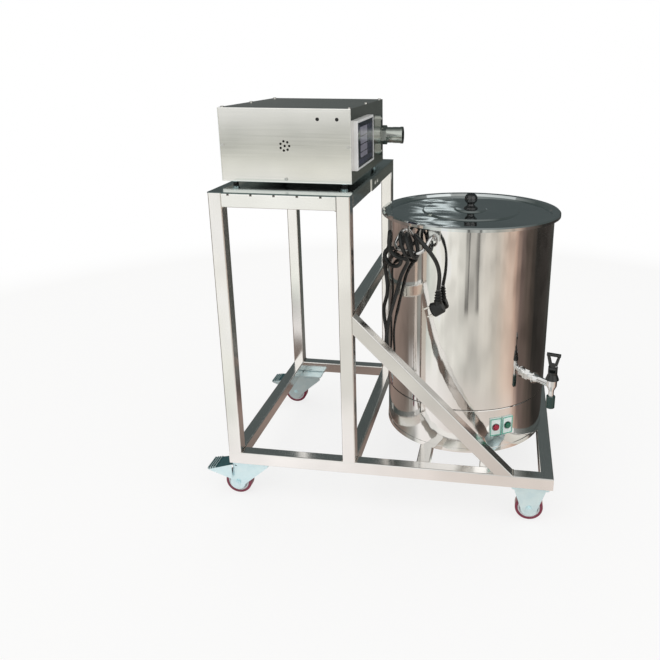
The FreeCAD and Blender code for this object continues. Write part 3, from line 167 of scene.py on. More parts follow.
def room_colour(tree, x, y, stops=ROOM):
    """Colour of the room in the direction (x, y) on plan."""
    turn = socket_math(tree, "ARCTAN2", x, socket_math(tree, "MULTIPLY", y, -1.0))
    place = socket_math(tree, "MULTIPLY_ADD", turn, 1 / (2 * math.pi), 0.5)
    return colour_ramp(tree, place, [((a + 180) / 360, c) for a, c in stops])


# Colour of the hall above the walls, from behind the melter, 0, to before it, 1.
HALL = [
    (0.0, (0.085, 0.10, 0.10)), (0.30, (0.08, 0.095, 0.09)),
    (0.55, (0.30, 0.31, 0.30)), (1.0, (0.72, 0.71, 0.68)),
]
wall_top = (0.02, 0.16)  # rise of a ray at which the walls give way to the hall
window_light = (0.85, 0.92, 0.92)
pale_light = (0.62, 0.62, 0.61)  # what the world lights the melter with
white = (1.0, 1.0, 1.0)


def make_world():
    """White where it is seen, pale where it lights, and the room and its hall where mirrored."""
    world = bpy.data.worlds.new("studio")
    bpy.context.scene.world = world
    world.use_nodes = True
    tree = world.node_tree
    tree.nodes.clear()
    x, y, z = axes(tree, tree.nodes.new("ShaderNodeTexCoord").outputs["Generated"])
    hall = colour_ramp(tree, socket_math(tree, "MULTIPLY_ADD", y, -0.5, 0.5), HALL)
    seen = mix_colours(tree, smooth_step(tree, z, *wall_top), room_colour(tree, x, y), hall)
    # a lit window, low in the hall behind: its sill, then its head, its two sides and its wall
    window = smooth_step(tree, z, 0.200, 0.207)
    edges = ((z, 0.229, 0.222), (x, -0.135, -0.115), (x, -0.060, -0.080), (y, 0.0, 0.2))
    for way, outside, inside in edges:
        window = socket_math(tree, "MULTIPLY", window, smooth_step(tree, way, outside, inside))
    seen = mix_colours(tree, window, seen, window_light)
    rays = tree.nodes.new("ShaderNodeLightPath")
    light = mix_colours(tree, rays.outputs["Is Camera Ray"], pale_light, white)
    background = tree.nodes.new("ShaderNodeBackground")
    colour = mix_colours(tree, mirrored_ray(tree, rays), light, seen)
    tree.links.new(colour, background.inputs["Color"])
    output = tree.nodes.new("ShaderNodeOutputWorld")
    tree.links.new(background.outputs[0], output.inputs["Surface"])


# Two dark posts that stand before the melter, and the dimmer gap between them.
POSTS = [
    (-0.6, (1.0, 1.0, 1.0)), (0.4, (0.14, 0.14, 0.14)), (1.8, (0.14, 0.14, 0.14)),
    (2.8, (0.78, 0.78, 0.78)), (13.8, (0.78, 0.78, 0.78)), (14.6, (0.16, 0.16, 0.16)),
    (16.2, (0.16, 0.16, 0.16)), (17.4, (1.0, 1.0, 1.0)),
]
# Soft patches of the room, by a noise, and its light by distance, where 1 is room_deep away.
PATCHES = [(0.35, (0.78, 0.78, 0.78)), (0.5, (1.0, 1.0, 1.0)), (0.65, (1.12, 1.12, 1.12))]
DEPTH = [
    (0.20, (1.08, 1.05, 1.00)), (0.235, (1.32, 1.29, 1.20)), (0.28, (0.98, 0.97, 0.90)),
    (0.36, (0.50, 0.50, 0.46)), (0.50, (0.58, 0.58, 0.56)), (0.62, (1.15, 1.15, 1.14)),
]
room_deep = 20.0
posts_away = (1.45, 1.55)  # metres from the barrel's axis
brightest = (0.94, 0.94, 0.93)
strip_reach = (1.0, 0.55)  # metres from the melter's middle at which the strip fades in
strip_front = (-0.18, -0.32)
strip_ends = (-0.42, 0.10)
strip_colours = ((0.97, 0.94, 0.92), (0.74, 0.67, 0.62))
paper_reach = (1.1, 2.6)  # metres over which the floor's paper turns plain white
floor_paper = (0.93, 0.92, 0.91, 1.0)
floor_glow = 0.78  # share of the seen floor that is plain white; the rest takes the shadow


def make_floor():
    """Pale floor that takes the shadow; mirrors see the room on it, and a strip before the melter."""
    bpy.ops.mesh.primitive_plane_add(size=40)
    floor = bpy.context.object
    floor.name = "studio_floor"
    material = bpy.data.materials.new("studio_floor")
    material.use_nodes = True
    tree = material.node_tree
    tree.nodes.clear()
    rays = tree.nodes.new("ShaderNodeLightPath")
    place = own_place(tree)
    x, y, _ = axes(tree, place)
    x = socket_math(tree, "SUBTRACT", x, barrel_x)
    reach = distance(tree, place, (0.0, 0.0, 0.0))

    paper = tree.nodes.new("ShaderNodeBsdfDiffuse")
    paper.inputs["Color"].default_value = floor_paper
    plain = tree.nodes.new("ShaderNodeEmission")
    far = smooth_step(tree, reach, *paper_reach)
    pale = socket_math(tree, "MULTIPLY", rays.outputs["Is Camera Ray"], floor_glow)
    seen = mix_shaders(tree, socket_math(tree, "MAXIMUM", far, pale), paper, plain)

    patches = colour_ramp(tree, noise_at(tree, place, 1.7, 2.0), PATCHES)
    room = mix_colours(tree, 1.0, room_colour(tree, x, y), patches, "MULTIPLY")
    posts = mix_colours(tree, 1.0, room, room_colour(tree, x, y, POSTS), "MULTIPLY")
    beyond = smooth_step(tree, distance(tree, place, (barrel_x, 0.0, 0.0)), *posts_away)
    room = mix_colours(tree, beyond, room, posts)
    depth = colour_ramp(tree, socket_math(tree, "MULTIPLY", reach, 1 / room_deep), DEPTH)
    room = mix_colours(tree, 1.0, room, depth, "MULTIPLY")
    room = mix_colours(tree, 1.0, room, brightest, "DARKEN")
    near = smooth_step(tree, reach, *strip_reach)
    near = socket_math(tree, "MULTIPLY", near, smooth_step(tree, y, *strip_front))
    strip = mix_colours(tree, smooth_step(tree, x, *strip_ends), *strip_colours)
    mirrored = tree.nodes.new("ShaderNodeEmission")
    tree.links.new(mix_colours(tree, near, room, strip), mirrored.inputs["Color"])

    either = mix_shaders(tree, mirrored_ray(tree, rays), seen, mirrored)
    output = tree.nodes.new("ShaderNodeOutputMaterial")
    tree.links.new(either.outputs[0], output.inputs["Surface"])
    floor.data.materials.append(material)


melter_middle = Vector((0.05, 0.0, 0.45))
key_place = (-1.6, -2.2, 2.6)


def add_lamp(name, place, size, power, mirrored=True):
    """Soft square lamp that looks at the melter; polished steel shows it only if it is mirrored."""
    lamp = bpy.data.lights.new(name, "AREA")
    lamp.size = size
    lamp.energy = power
    lamp_object = bpy.data.objects.new(name, lamp)
    lamp_object.location = place
    lamp_object.visible_glossy = mirrored
    way = melter_middle - Vector(place)
    lamp_object.rotation_euler = way.to_track_quat("-Z", "Y").to_euler()
    bpy.context.scene.collection.objects.link(lamp_object)


make_world()
make_floor()
add_lamp("key_lamp", key_place, 4.2, 20)
add_lamp("key_glow", key_place, 4.2, 32, mirrored=False)
add_lamp("fill_lamp", (2.2, -1.6, 2.0), 3.2, 21)
add_lamp("back_lamp", (-0.8, 1.6, 3.4), 2.6, 16, mirrored=False)

# --- frame -------------------------------------------------------------------------------------
# Square stainless tube, 30 mm wide, cut, mitred and welded, then polished along its length. The
# bench top is one folded stainless sheet, tack welded to its rails.


def new_material(name):
    """Empty material with a Principled shader; gives its material, tree and shader."""
    material = bpy.data.materials.new(name)
    material.use_nodes = True
    tree = material.node_tree
    shader = tree.nodes["Principled BSDF"]
    return material, tree, shader


def noise(tree, scale, stretch=(1.0, 1.0, 1.0), detail=3.0):
    """Noise on the piece's own coordinates, stretched along an axis by a small number."""
    mapping = tree.nodes.new("ShaderNodeMapping")
    mapping.inputs["Scale"].default_value = stretch
    tree.links.new(own_place(tree), mapping.inputs["Vector"])
    return noise_at(tree, mapping.outputs[0], scale, detail)


def clouded(tree, shader, scale, dark, light, detail=3.0):
    """Base colour that drifts between a dark and a light one; gives the noise that it follows."""
    drift = noise(tree, scale, detail=detail)
    colour = colour_ramp(tree, drift, [(0.3, dark), (0.7, light)])
    tree.links.new(colour, shader.inputs["Base Color"])
    return drift


def add_bump(tree, shader, height, strength, depth, over=None):
    """Relief by a height from 0 to 1, over an earlier relief; gives its normal."""
    bump = tree.nodes.new("ShaderNodeBump")
    bump.inputs["Strength"].default_value = strength
    bump.inputs["Distance"].default_value = depth
    tree.links.new(height, bump.inputs["Height"])
    if over is not None:
        tree.links.new(over, bump.inputs["Normal"])
    tree.links.new(bump.outputs[0], shader.inputs["Normal"])
    return bump.outputs[0]


def paint_over(material, mask, colour):
    """Lays a colour over a finish where the mask is 1."""
    tree = material.node_tree
    base = tree.nodes["Principled BSDF"].inputs["Base Color"]
    tree.links.new(mix_colours(tree, mask, base.links[0].from_socket, colour), base)


def steel(name, colour, gloss, grain=(1.0, 1.0, 1.0), stains=0.06, dents=0.0006):
    """Metal: gloss is its lowest and highest roughness, grain the stretch of its polish, stains the
    drift of its colour, and dents the depth of its long waves in metres."""
    material, tree, shader = new_material(name)
    shader.inputs["Metallic"].default_value = 1.0
    light = tuple(min(1.0, c * (1 + stains)) for c in colour)
    dark = tuple(c * (1 - stains) for c in colour)
    clouded(tree, shader, 7.0, dark, light, detail=2.0)
    polish = noise(tree, 600.0, stretch=grain)
    level = tree.nodes.new("ShaderNodeMapRange")
    tree.links.new(polish, level.inputs["Value"])
    level.inputs["From Min"].default_value, level.inputs["From Max"].default_value = 0.3, 0.7
    level.inputs["To Min"].default_value, level.inputs["To Max"].default_value = gloss
    tree.links.new(level.outputs[0], shader.inputs["Roughness"])
    waves = add_bump(tree, shader, noise(tree, 9.0, detail=1.0), 0.35, dents)
    add_bump(tree, shader, polish, 0.05, 0.00006, waves)
    return material


def finish(material, *names):
    """Gives CAD nodes their finish."""
    for name in names:
        for slot in nodes[name].material_slots:
            slot.material = material


def clear_selection():
    """Object mode, with nothing selected."""
    if bpy.context.object and bpy.context.object.mode != "OBJECT":
        bpy.ops.object.mode_set(mode="OBJECT")
    bpy.ops.object.select_all(action="DESELECT")


def edit_all():
    """Edit mode, with the whole piece selected."""
    bpy.ops.object.mode_set(mode="EDIT")
    bpy.ops.mesh.select_all(action="SELECT")


def settle_place():
    """Moves the place, turn and size of the selected piece into its mesh."""
    bpy.ops.object.transform_apply(location=True, rotation=True, scale=True)


def set_out(piece, places):
    """Copies a piece to each place, a matrix, and joins the copies in one piece."""
    name = piece.name
    clear_selection()
    for place in places:
        copy = piece.copy()
        copy.data = piece.data.copy()
        copy.data.transform(place)
        bpy.context.scene.collection.objects.link(copy)
        copy.select_set(True)
        bpy.context.view_layer.objects.active = copy
    bpy.data.objects.remove(piece)
    if len(bpy.context.selected_objects) > 1:
        bpy.ops.object.join()
    bpy.context.object.name = name
    return bpy.context.object


def complete(piece, material, body, angle=35):
    """Settles a piece's place in its mesh and gives it its finish and body."""
    clear_selection()
    piece.select_set(True)
    bpy.context.view_layer.objects.active = piece
    settle_place()
    bpy.ops.object.shade_smooth_by_angle(angle=math.radians(angle))
    piece.data.materials.clear()
    piece.data.materials.append(material)
    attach(piece, body)
    return piece


bench_front_face = (-0.2785, -0.2795)  # y at which the front face of the bench begins
tack_start = -0.303
tack_pitch = 0.0497
tack_height = 0.7435
tack_edge = (0.0034, 0.0018)  # a spot fades out between these two radii


def tack_spots(material):
    """Dark tack welds under the front lip of the bench sheet, at an even pitch."""
    tree = material.node_tree
    x, y, z = axes(tree, own_place(tree))
    along = socket_math(tree, "WRAP", x, tack_start + tack_pitch / 2, tack_start - tack_pitch / 2)
    along = socket_math(tree, "ABSOLUTE", socket_math(tree, "SUBTRACT", along, tack_start))
    up = socket_math(tree, "ABSOLUTE", socket_math(tree, "SUBTRACT", z, tack_height))
    away = socket_math(tree, "MAXIMUM", along, socket_math(tree, "MULTIPLY", up, 0.8))
    spot = smooth_step(tree, away, *tack_edge)
    spot = socket_math(tree, "MULTIPLY", spot, smooth_step(tree, y, *bench_front_face))
    paint_over(material, spot, (0.10, 0.09, 0.08))


def bench_sheet_steel():
    """Dull grey-green sheet, with painted shade: its front face is painted dark teal."""
    material = steel("bench_sheet_steel", (0.56, 0.64, 0.63), (0.11, 0.14), grain=(0.05, 1.0, 1.0))
    tree = material.node_tree
    y = axes(tree, own_place(tree))[1]
    # Painted shade: the front face of the sheet is painted dark teal.
    paint_over(material, smooth_step(tree, y, *bench_front_face), (0.10, 0.14, 0.14))
    return material


tube_gloss = (0.10, 0.20)
finish(steel("polished_tube", (0.92, 0.905, 0.89), tube_gloss), "base_rails", "bench_posts")
# Painted shade: the braces and inner base rails are the same tube, in a darker copy of its colour.
finish(steel("shaded_brace_tube", (0.78, 0.765, 0.745), tube_gloss), "braces", "inner_base_rails")
bench_rail_steel = steel("bench_rail_tube", (0.93, 0.93, 0.91), tube_gloss)
tack_spots(bench_rail_steel)
finish(bench_rail_steel, "bench_rails")
finish(bench_sheet_steel(), "bench_sheet")

# Weld beads across the tubes where they meet, at the front and at the back, each a row of ripples
# that overlap, lean and wander a little. A seam is given by its x and its height.
ripple_radius = 0.0021
ripple_pitch = 0.0019
tube_wide = 0.030
base_seam_height = 0.127
bench_seam_height = 0.715
seams = [(x, base_seam_height) for x in (-0.3166, -0.0736, -0.0416, 0.2750, 0.3174)]
seams += [(x, bench_seam_height) for x in (-0.3166, -0.0736)]
seams += [(-0.0416, 0.4446), (-0.0416, 0.487)]
row_starts = (-0.2790, 0.2506)
ripple_lean = 0.5
ripple_wander = 0.0003
clear_selection()
bpy.ops.mesh.primitive_uv_sphere_add(segments=8, ring_count=5, radius=ripple_radius)
ripple = bpy.context.object
ripple.name = "weld_beads"
edit_all()
bpy.ops.transform.resize(value=(1.0, 1.3, 0.85), center_override=(0.0, 0.0, 0.0))
ripples = []
for row_start in row_starts:
    for x, z in seams:
        for step in range(1, int(tube_wide / ripple_pitch) - 1):
            lean = Matrix.Rotation(ripple_lean * math.sin(7.0 * step + 40.0 * x), 4, "Y")
            aside = ripple_wander * math.sin(5.0 * step)
            y = row_start + step * ripple_pitch + ripple_pitch / 3
            ripples.append(Matrix.Translation((x + aside, y, z)) @ lean)
weld_steel = steel("weld_steel", (0.52, 0.47, 0.42), (0.25, 0.42), stains=0.25)
complete(set_out(ripple, ripples), weld_steel, "frame", 60)

# --- casters -----------------------------------------------------------------------------------
# Bolted plate casters of 64 mm: bright zinc plated pressings, white nylon hubs with a moulded
# wine red tread, and a dark teal painted brake pedal on the two swivelling ones.


def extrude(way):
    """In edit mode, draws the selected faces out along a vector."""
    bpy.ops.mesh.extrude_region_move(TRANSFORM_OT_translate={"value": way})


def face_outwards():
    """In edit mode, turns all faces of the piece outwards."""
    bpy.ops.mesh.select_all(action="SELECT")
    bpy.ops.mesh.normals_make_consistent(inside=False)


def moulded(name, colour, roughness, grain=0.0, coat=0.0):
    """Moulded or painted surface with a fine skin."""
    material, tree, shader = new_material(name)
    light = tuple(min(1.0, c * 1.08) for c in colour)
    dark = tuple(c * 0.9 for c in colour)
    clouded(tree, shader, 30.0, dark, light)
    shader.inputs["Roughness"].default_value = roughness
    shader.inputs["Coat Weight"].default_value = coat
    add_bump(tree, shader, noise(tree, 900.0, detail=2.0), grain, 0.0003)
    return material


def zinc_plate():
    """Bright blue-white zinc plating over pressed steel."""
    material, tree, shader = new_material("zinc_plate")
    shader.inputs["Metallic"].default_value = 0.55
    spangle = clouded(tree, shader, 60.0, (0.70, 0.89, 0.94), (0.78, 0.95, 0.98))
    shader.inputs["Roughness"].default_value = 0.30
    add_bump(tree, shader, spangle, 0.12, 0.0003)
    return material


pedal_tip = -0.4116
pedal_rib_pitch = 0.006
last_rib = (-0.388, -0.390)  # x at which the ribs end


def brake_paint():
    """Dark teal paint, with a painted highlight on the crests of the ribs at the pedal's tip."""
    material = moulded("brake_paint", (0.03, 0.10, 0.11), 0.22, coat=0.6)
    tree = material.node_tree
    x = axes(tree, own_place(tree))[0]
    # Painted highlight: pale stripes along the rib crests at the pedal's tip.
    rib = socket_math(tree, "WRAP", x, pedal_tip + pedal_rib_pitch, pedal_tip)
    valley, crest = pedal_tip + 0.45 * pedal_rib_pitch, pedal_tip + 0.30 * pedal_rib_pitch
    rib_highlight = smooth_step(tree, rib, valley, crest)
    rib_highlight = socket_math(tree, "MULTIPLY", rib_highlight, smooth_step(tree, x, *last_rib))
    paint_over(material, rib_highlight, (0.62, 0.72, 0.72))
    return material


zinc = zinc_plate()
swivel_casters = ("front_left", "rear_left")
all_casters = swivel_casters + ("front_right", "rear_right")
finish(zinc, "swivel_plates", "fixed_brackets", "caster_bolts",
       *(c + "_fork" for c in swivel_casters))
finish(brake_paint(), *(c + "_pedal" for c in swivel_casters))
finish(moulded("wheel_nylon", (0.80, 0.82, 0.84), 0.4), *(c + "_hub" for c in all_casters))
finish(moulded("wheel_tread", (0.22, 0.022, 0.055), 0.32, grain=0.1, coat=0.3),
       *(c + "_tyre" for c in all_casters))

# Side plates of the brake: squares of sheet cut along the underside of the tread and along their
# lower edge. A cut is two points, in x and z, and the side it takes away, 1 above and -1 below.
plate_thick = 0.0015
plate_round = 0.0004
plates_apart = 0.0485
plate_square = 0.060
plate_cuts = [((-0.409, 0.0662), (-0.350, 0.0845), 1), ((-0.409, 0.0655), (-0.366, 0.0500), -1)]
for caster, outer_side in (("front_left", -0.2680), ("rear_left", 0.2180)):
    clear_selection()
    bpy.ops.mesh.primitive_plane_add(size=plate_square, location=(-0.380, outer_side, 0.070),
                                     rotation=(math.pi / 2, 0.0, 0.0))
    side_plate = bpy.context.object
    side_plate.name = caster + "_brake_sides"
    settle_place()
    for (x0, z0), (x1, z1), up in plate_cuts:
        edit_all()
        bpy.ops.mesh.bisect(plane_co=(x0, outer_side, z0),
                            plane_no=(-(z1 - z0) * up, 0.0, (x1 - x0) * up), clear_outer=True)
    bpy.ops.mesh.select_all(action="SELECT")
    extrude((0.0, plate_thick, 0.0))
    face_outwards()
    bpy.ops.mesh.bevel(offset=plate_round, segments=2, affect="EDGES")
    inner_place = Matrix.Translation((0.0, plates_apart, 0.0))
    side_plate = set_out(side_plate, [Matrix.Identity(4), inner_place])
    complete(side_plate, zinc, caster + "_pedal")

# --- barrel ------------------------------------------------------------------------------------
# Spun and rolled stainless vessel with a rolled rim, standing in a heater skirt with a base pan.
# The sheet is mirror polished; rolling leaves faint upright waves in it.


def mirror_sheet():
    """Mirror polished rolled sheet, with faint waves that stand upright round the barrel."""
    material, tree, shader = new_material("mirror_sheet")
    shader.inputs["Metallic"].default_value = 1.0
    x, y, z = axes(tree, own_place(tree))
    x = socket_math(tree, "SUBTRACT", x, barrel_x)
    unrolled = tree.nodes.new("ShaderNodeCombineXYZ")
    angle = socket_math(tree, "ARCTAN2", x, socket_math(tree, "MULTIPLY", y, -1.0))
    tree.links.new(angle, unrolled.inputs[0])
    tree.links.new(socket_math(tree, "MULTIPLY", z, 0.35), unrolled.inputs[2])
    clouded(tree, shader, 3.0, (0.80, 0.785, 0.765), (0.88, 0.87, 0.855), detail=2.0)
    shader.inputs["Roughness"].default_value = 0.07
    add_bump(tree, shader, noise_at(tree, unrolled.outputs[0], 5.0, 2.0), 0.5, 0.0025)
    return material


def spun_lid():
    """Mirror polished spinning: fine rings round the axis over long soft waves."""
    material, tree, shader = new_material("spun_lid")
    shader.inputs["Metallic"].default_value = 1.0
    x, y, _ = axes(tree, own_place(tree))
    x = socket_math(tree, "SUBTRACT", x, barrel_x)
    squares = [socket_math(tree, "MULTIPLY", side, side) for side in (x, y)]
    radius = tree.nodes.new("ShaderNodeCombineXYZ")
    tree.links.new(socket_math(tree, "SQRT", socket_math(tree, "ADD", *squares)), radius.inputs[0])
    clouded(tree, shader, 6.0, (0.62, 0.67, 0.68), (0.78, 0.81, 0.82))
    shader.inputs["Roughness"].default_value = 0.055
    waves = add_bump(tree, shader, noise(tree, 11.0, detail=1.0), 0.6, 0.0035)
    add_bump(tree, shader, noise_at(tree, radius.outputs[0], 160.0, 3.0), 0.12, 0.0004, waves)
    return material


def turned(name, steps, sides=48):
    """Round piece on the Z axis, grown from a disc; each step is a radius and a height."""
    clear_selection()
    radius, height = steps[0]
    bpy.ops.mesh.primitive_circle_add(vertices=sides, radius=radius, fill_type="NGON",
                                      location=(0.0, 0.0, height))
    settle_place()
    piece = bpy.context.object
    piece.name = name
    edit_all()
    for (before, low), (after, high) in zip(steps, steps[1:]):
        extrude((0.0, 0.0, high - low))
        grow = after / before
        bpy.ops.transform.resize(value=(grow, grow, 1.0), center_override=(0.0, 0.0, high))
    face_outwards()
    bpy.ops.object.mode_set(mode="OBJECT")
    return piece


finish(mirror_sheet(), "barrel_vessel", "heater_skirt", "base_pan")
finish(spun_lid(), "lid")
finish(steel("heater_steel", (0.35, 0.34, 0.33), (0.35, 0.5)), "heating_element")
finish(steel("thermostat_alloy", (0.75, 0.72, 0.66), (0.3, 0.4)), "thermostat")
rod_steel = steel("rod_steel", (0.72, 0.72, 0.72), (0.10, 0.2))
finish(rod_steel, "knob_stem", "barrel_handles", "handle_brackets")

# Dark bead on the seam between the skirt and the vessel, a little uneven: painted shade that stands
# for the shadow in the joint.
seam_middle = (barrel_x, barrel_y, 0.2386)
seam_radius = 0.1976
bead_radius = 0.0011
clear_selection()
bpy.ops.mesh.primitive_torus_add(major_radius=seam_radius, minor_radius=bead_radius,
                                 major_segments=128, minor_segments=10, location=seam_middle)
seam_bead = bpy.context.object
seam_bead.name = "skirt_seam_bead"
edit_all()
bpy.ops.transform.resize(value=(1.0, 1.0, 0.8), center_override=seam_middle)
bpy.ops.transform.vertex_random(offset=0.00015, seed=3)
painted_seam_shade = moulded("seam_shadow_bead", (0.05, 0.04, 0.035), 0.45)
complete(seam_bead, painted_seam_shade, "frame", 60)

# Profile of the ball knob: radius, and height above the lid's raised centre, in millimetres.
KNOB = [
    (16.6, 0.0), (17.0, 1.0), (16.4, 2.4), (13.0, 4.6), (9.6, 7.4), (8.4, 9.8), (9.4, 12.0),
    (12.2, 14.6), (14.6, 17.6), (15.7, 21.0), (15.8, 24.0), (14.8, 28.0), (12.6, 31.6),
    (9.4, 34.6), (5.6, 36.4), (1.6, 37.1),
]
lid_centre_top = 0.6735
knob = turned("ball_knob", [(r / 1000, z / 1000) for r, z in KNOB])
knob.location = (barrel_x, barrel_y, lid_centre_top)
bakelite = moulded("knob_bakelite", (0.008, 0.009, 0.010), 0.10, coat=0.8)
complete(knob, bakelite, "lid", 70)
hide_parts("lid_knob")

# --- tap ---------------------------------------------------------------------------------------
# Chromed brass wine tap screwed through the vessel wall with a nut each side, with a black
# moulded bonnet and loop lever, and a dark green ribbed nozzle pushed on its outlet.
finish(steel("tap_chrome", (0.86, 0.87, 0.88), (0.05, 0.12)), "tap_body", "tap_nuts", "tap_stem")
black_plastic = moulded("black_plastic", (0.012, 0.014, 0.014), 0.22, coat=0.2)
finish(black_plastic, "tap_bonnet", "tap_lever")

nozzle_radius = 0.0095
nozzle_rib = 0.0009
nozzle_middle = (0.3955, -0.1729, 0.2645)
nozzle_length = 0.027
nozzle_wall = 0.0042
nozzle_depth = 0.020


def pick_faces(piece, wanted):
    """In edit mode, selects the faces whose middle and normal are wanted."""
    bpy.ops.object.mode_set(mode="OBJECT")
    mesh = piece.data
    mesh.vertices.foreach_set("select", [False] * len(mesh.vertices))
    mesh.edges.foreach_set("select", [False] * len(mesh.edges))
    for face in mesh.polygons:
        face.select = bool(wanted(face.center, face.normal))
    bpy.ops.object.mode_set(mode="EDIT")
    bpy.ops.mesh.select_mode(type="FACE")


def is_rib(_, way):
    """Every second face of the nozzle's wall, ten degrees wide, stands out as a rib."""
    return abs(way.z) < 0.5 and int(math.degrees(math.atan2(way.y, way.x)) // 10) % 2


clear_selection()
bpy.ops.mesh.primitive_cylinder_add(vertices=36, radius=nozzle_radius, depth=nozzle_length)
nozzle = bpy.context.object
nozzle.name = "ribbed_nozzle"
pick_faces(nozzle, is_rib)
bpy.ops.mesh.extrude_region_shrink_fatten(TRANSFORM_OT_shrink_fatten={"value": nozzle_rib})
pick_faces(nozzle, lambda middle, way: way.z < -0.9 and middle.xy.length < 0.002)
bpy.ops.mesh.inset(thickness=nozzle_wall)
extrude((0.0, 0.0, nozzle_depth))
clear_selection()
nozzle.location = nozzle_middle
nozzle_plastic = moulded("nozzle_plastic", (0.012, 0.045, 0.04), 0.28, coat=0.2)
complete(nozzle, nozzle_plastic, "frame", 30)
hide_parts("tap_nozzle")

# --- switches ----------------------------------------------------------------------------------
# Two push switches of moulded plastic, snapped into the skirt: a pale plate with a green rim, a
# dark collar and a domed cap that is pressed, red for off and green for on.
plate_wide = 0.028
plate_high = 0.044
plate_face = 0.19965  # distance of its face from the barrel's axis
plate_middle = 0.192  # height of its middle
rim_wide = 0.0022
rim_proud = 0.0009
switch_turns = {"red": 25.1, "green": 34.0}  # degrees round the barrel from its front


def on_skirt(turn):
    """Place on the skirt: -Y points out of the barrel, from its axis."""
    axis = Matrix.Translation((barrel_x, barrel_y, plate_middle))
    return axis @ Matrix.Rotation(math.radians(turn), 4, "Z")


def out_of_skirt(turn, face):
    """Place of a turned piece: its Z axis points out of the barrel, from a face that far out."""
    lay_out = Matrix.Translation((0.0, -face, 0.0)) @ Matrix.Rotation(math.pi / 2, 4, "X")
    return on_skirt(turn) @ lay_out


def upright_frame(name, wide, high, middle, rim, proud):
    """Thin frame that faces -Y: a plate, inset by the rim, opened and drawn forward."""
    clear_selection()
    bpy.ops.mesh.primitive_plane_add(size=1.0, location=middle, rotation=(math.pi / 2, 0.0, 0.0))
    piece = bpy.context.object
    piece.name = name
    piece.scale = (wide, high, 1.0)
    settle_place()
    pick_faces(piece, lambda *face: True)
    bpy.ops.mesh.inset(thickness=rim)
    bpy.ops.mesh.delete(type="FACE")
    bpy.ops.mesh.select_all(action="SELECT")
    extrude((0.0, -proud, 0.0))
    return piece


rims = upright_frame("switch_rims", plate_wide, plate_high, (0.0, -plate_face, 0.0),
                     rim_wide, rim_proud)
face_outwards()
rims = set_out(rims, [on_skirt(turn) for turn in switch_turns.values()])
complete(rims, moulded("switch_rim", (0.16, 0.52, 0.40), 0.3, coat=0.3), "frame")

collar_steps = [(0.0092, 0.0), (0.0092, 0.0008), (0.0088, 0.0013), (0.0080, 0.0013),
                (0.00745, 0.0002)]
collar = turned("button_collars", collar_steps, 40)
pick_faces(collar, lambda middle, way: middle.xy.length < 0.001)
bpy.ops.mesh.delete(type="FACE")
collar = set_out(collar, [out_of_skirt(turn, plate_face) for turn in switch_turns.values()])
complete(collar, moulded("collar_plastic", (0.05, 0.07, 0.06), 0.3, coat=0.3), "frame")

finish(moulded("switch_frame", (0.86, 0.97, 0.93), 0.35), "switch_plates")
cap_colours = {"red": (0.38, 0.004, 0.04), "green": (0.0, 0.15, 0.08)}
button_proud = 0.004
cap_face = plate_face + button_proud
cap_steps = [(0.0071, 0.0), (0.0070, 0.0006), (0.0061, 0.0013), (0.0042, 0.0018),
             (0.0014, 0.0020)]
for colour, turn in switch_turns.items():
    cap_plastic = moulded(colour + "_cap", cap_colours[colour], 0.16, coat=0.5)
    finish(cap_plastic, colour + "_button")
    lens_cap = turned(colour + "_lens", cap_steps, 32)
    lens_cap.data.transform(out_of_skirt(turn, cap_face))
    complete(lens_cap, cap_plastic, colour + "_button", 60)

# --- power cord --------------------------------------------------------------------------------
# Round black mains lead of 9 mm. It leaves a gland at the back of the skirt, hangs in a bight
# down the left side, is wound twice round the handle and ends in a moulded plug.

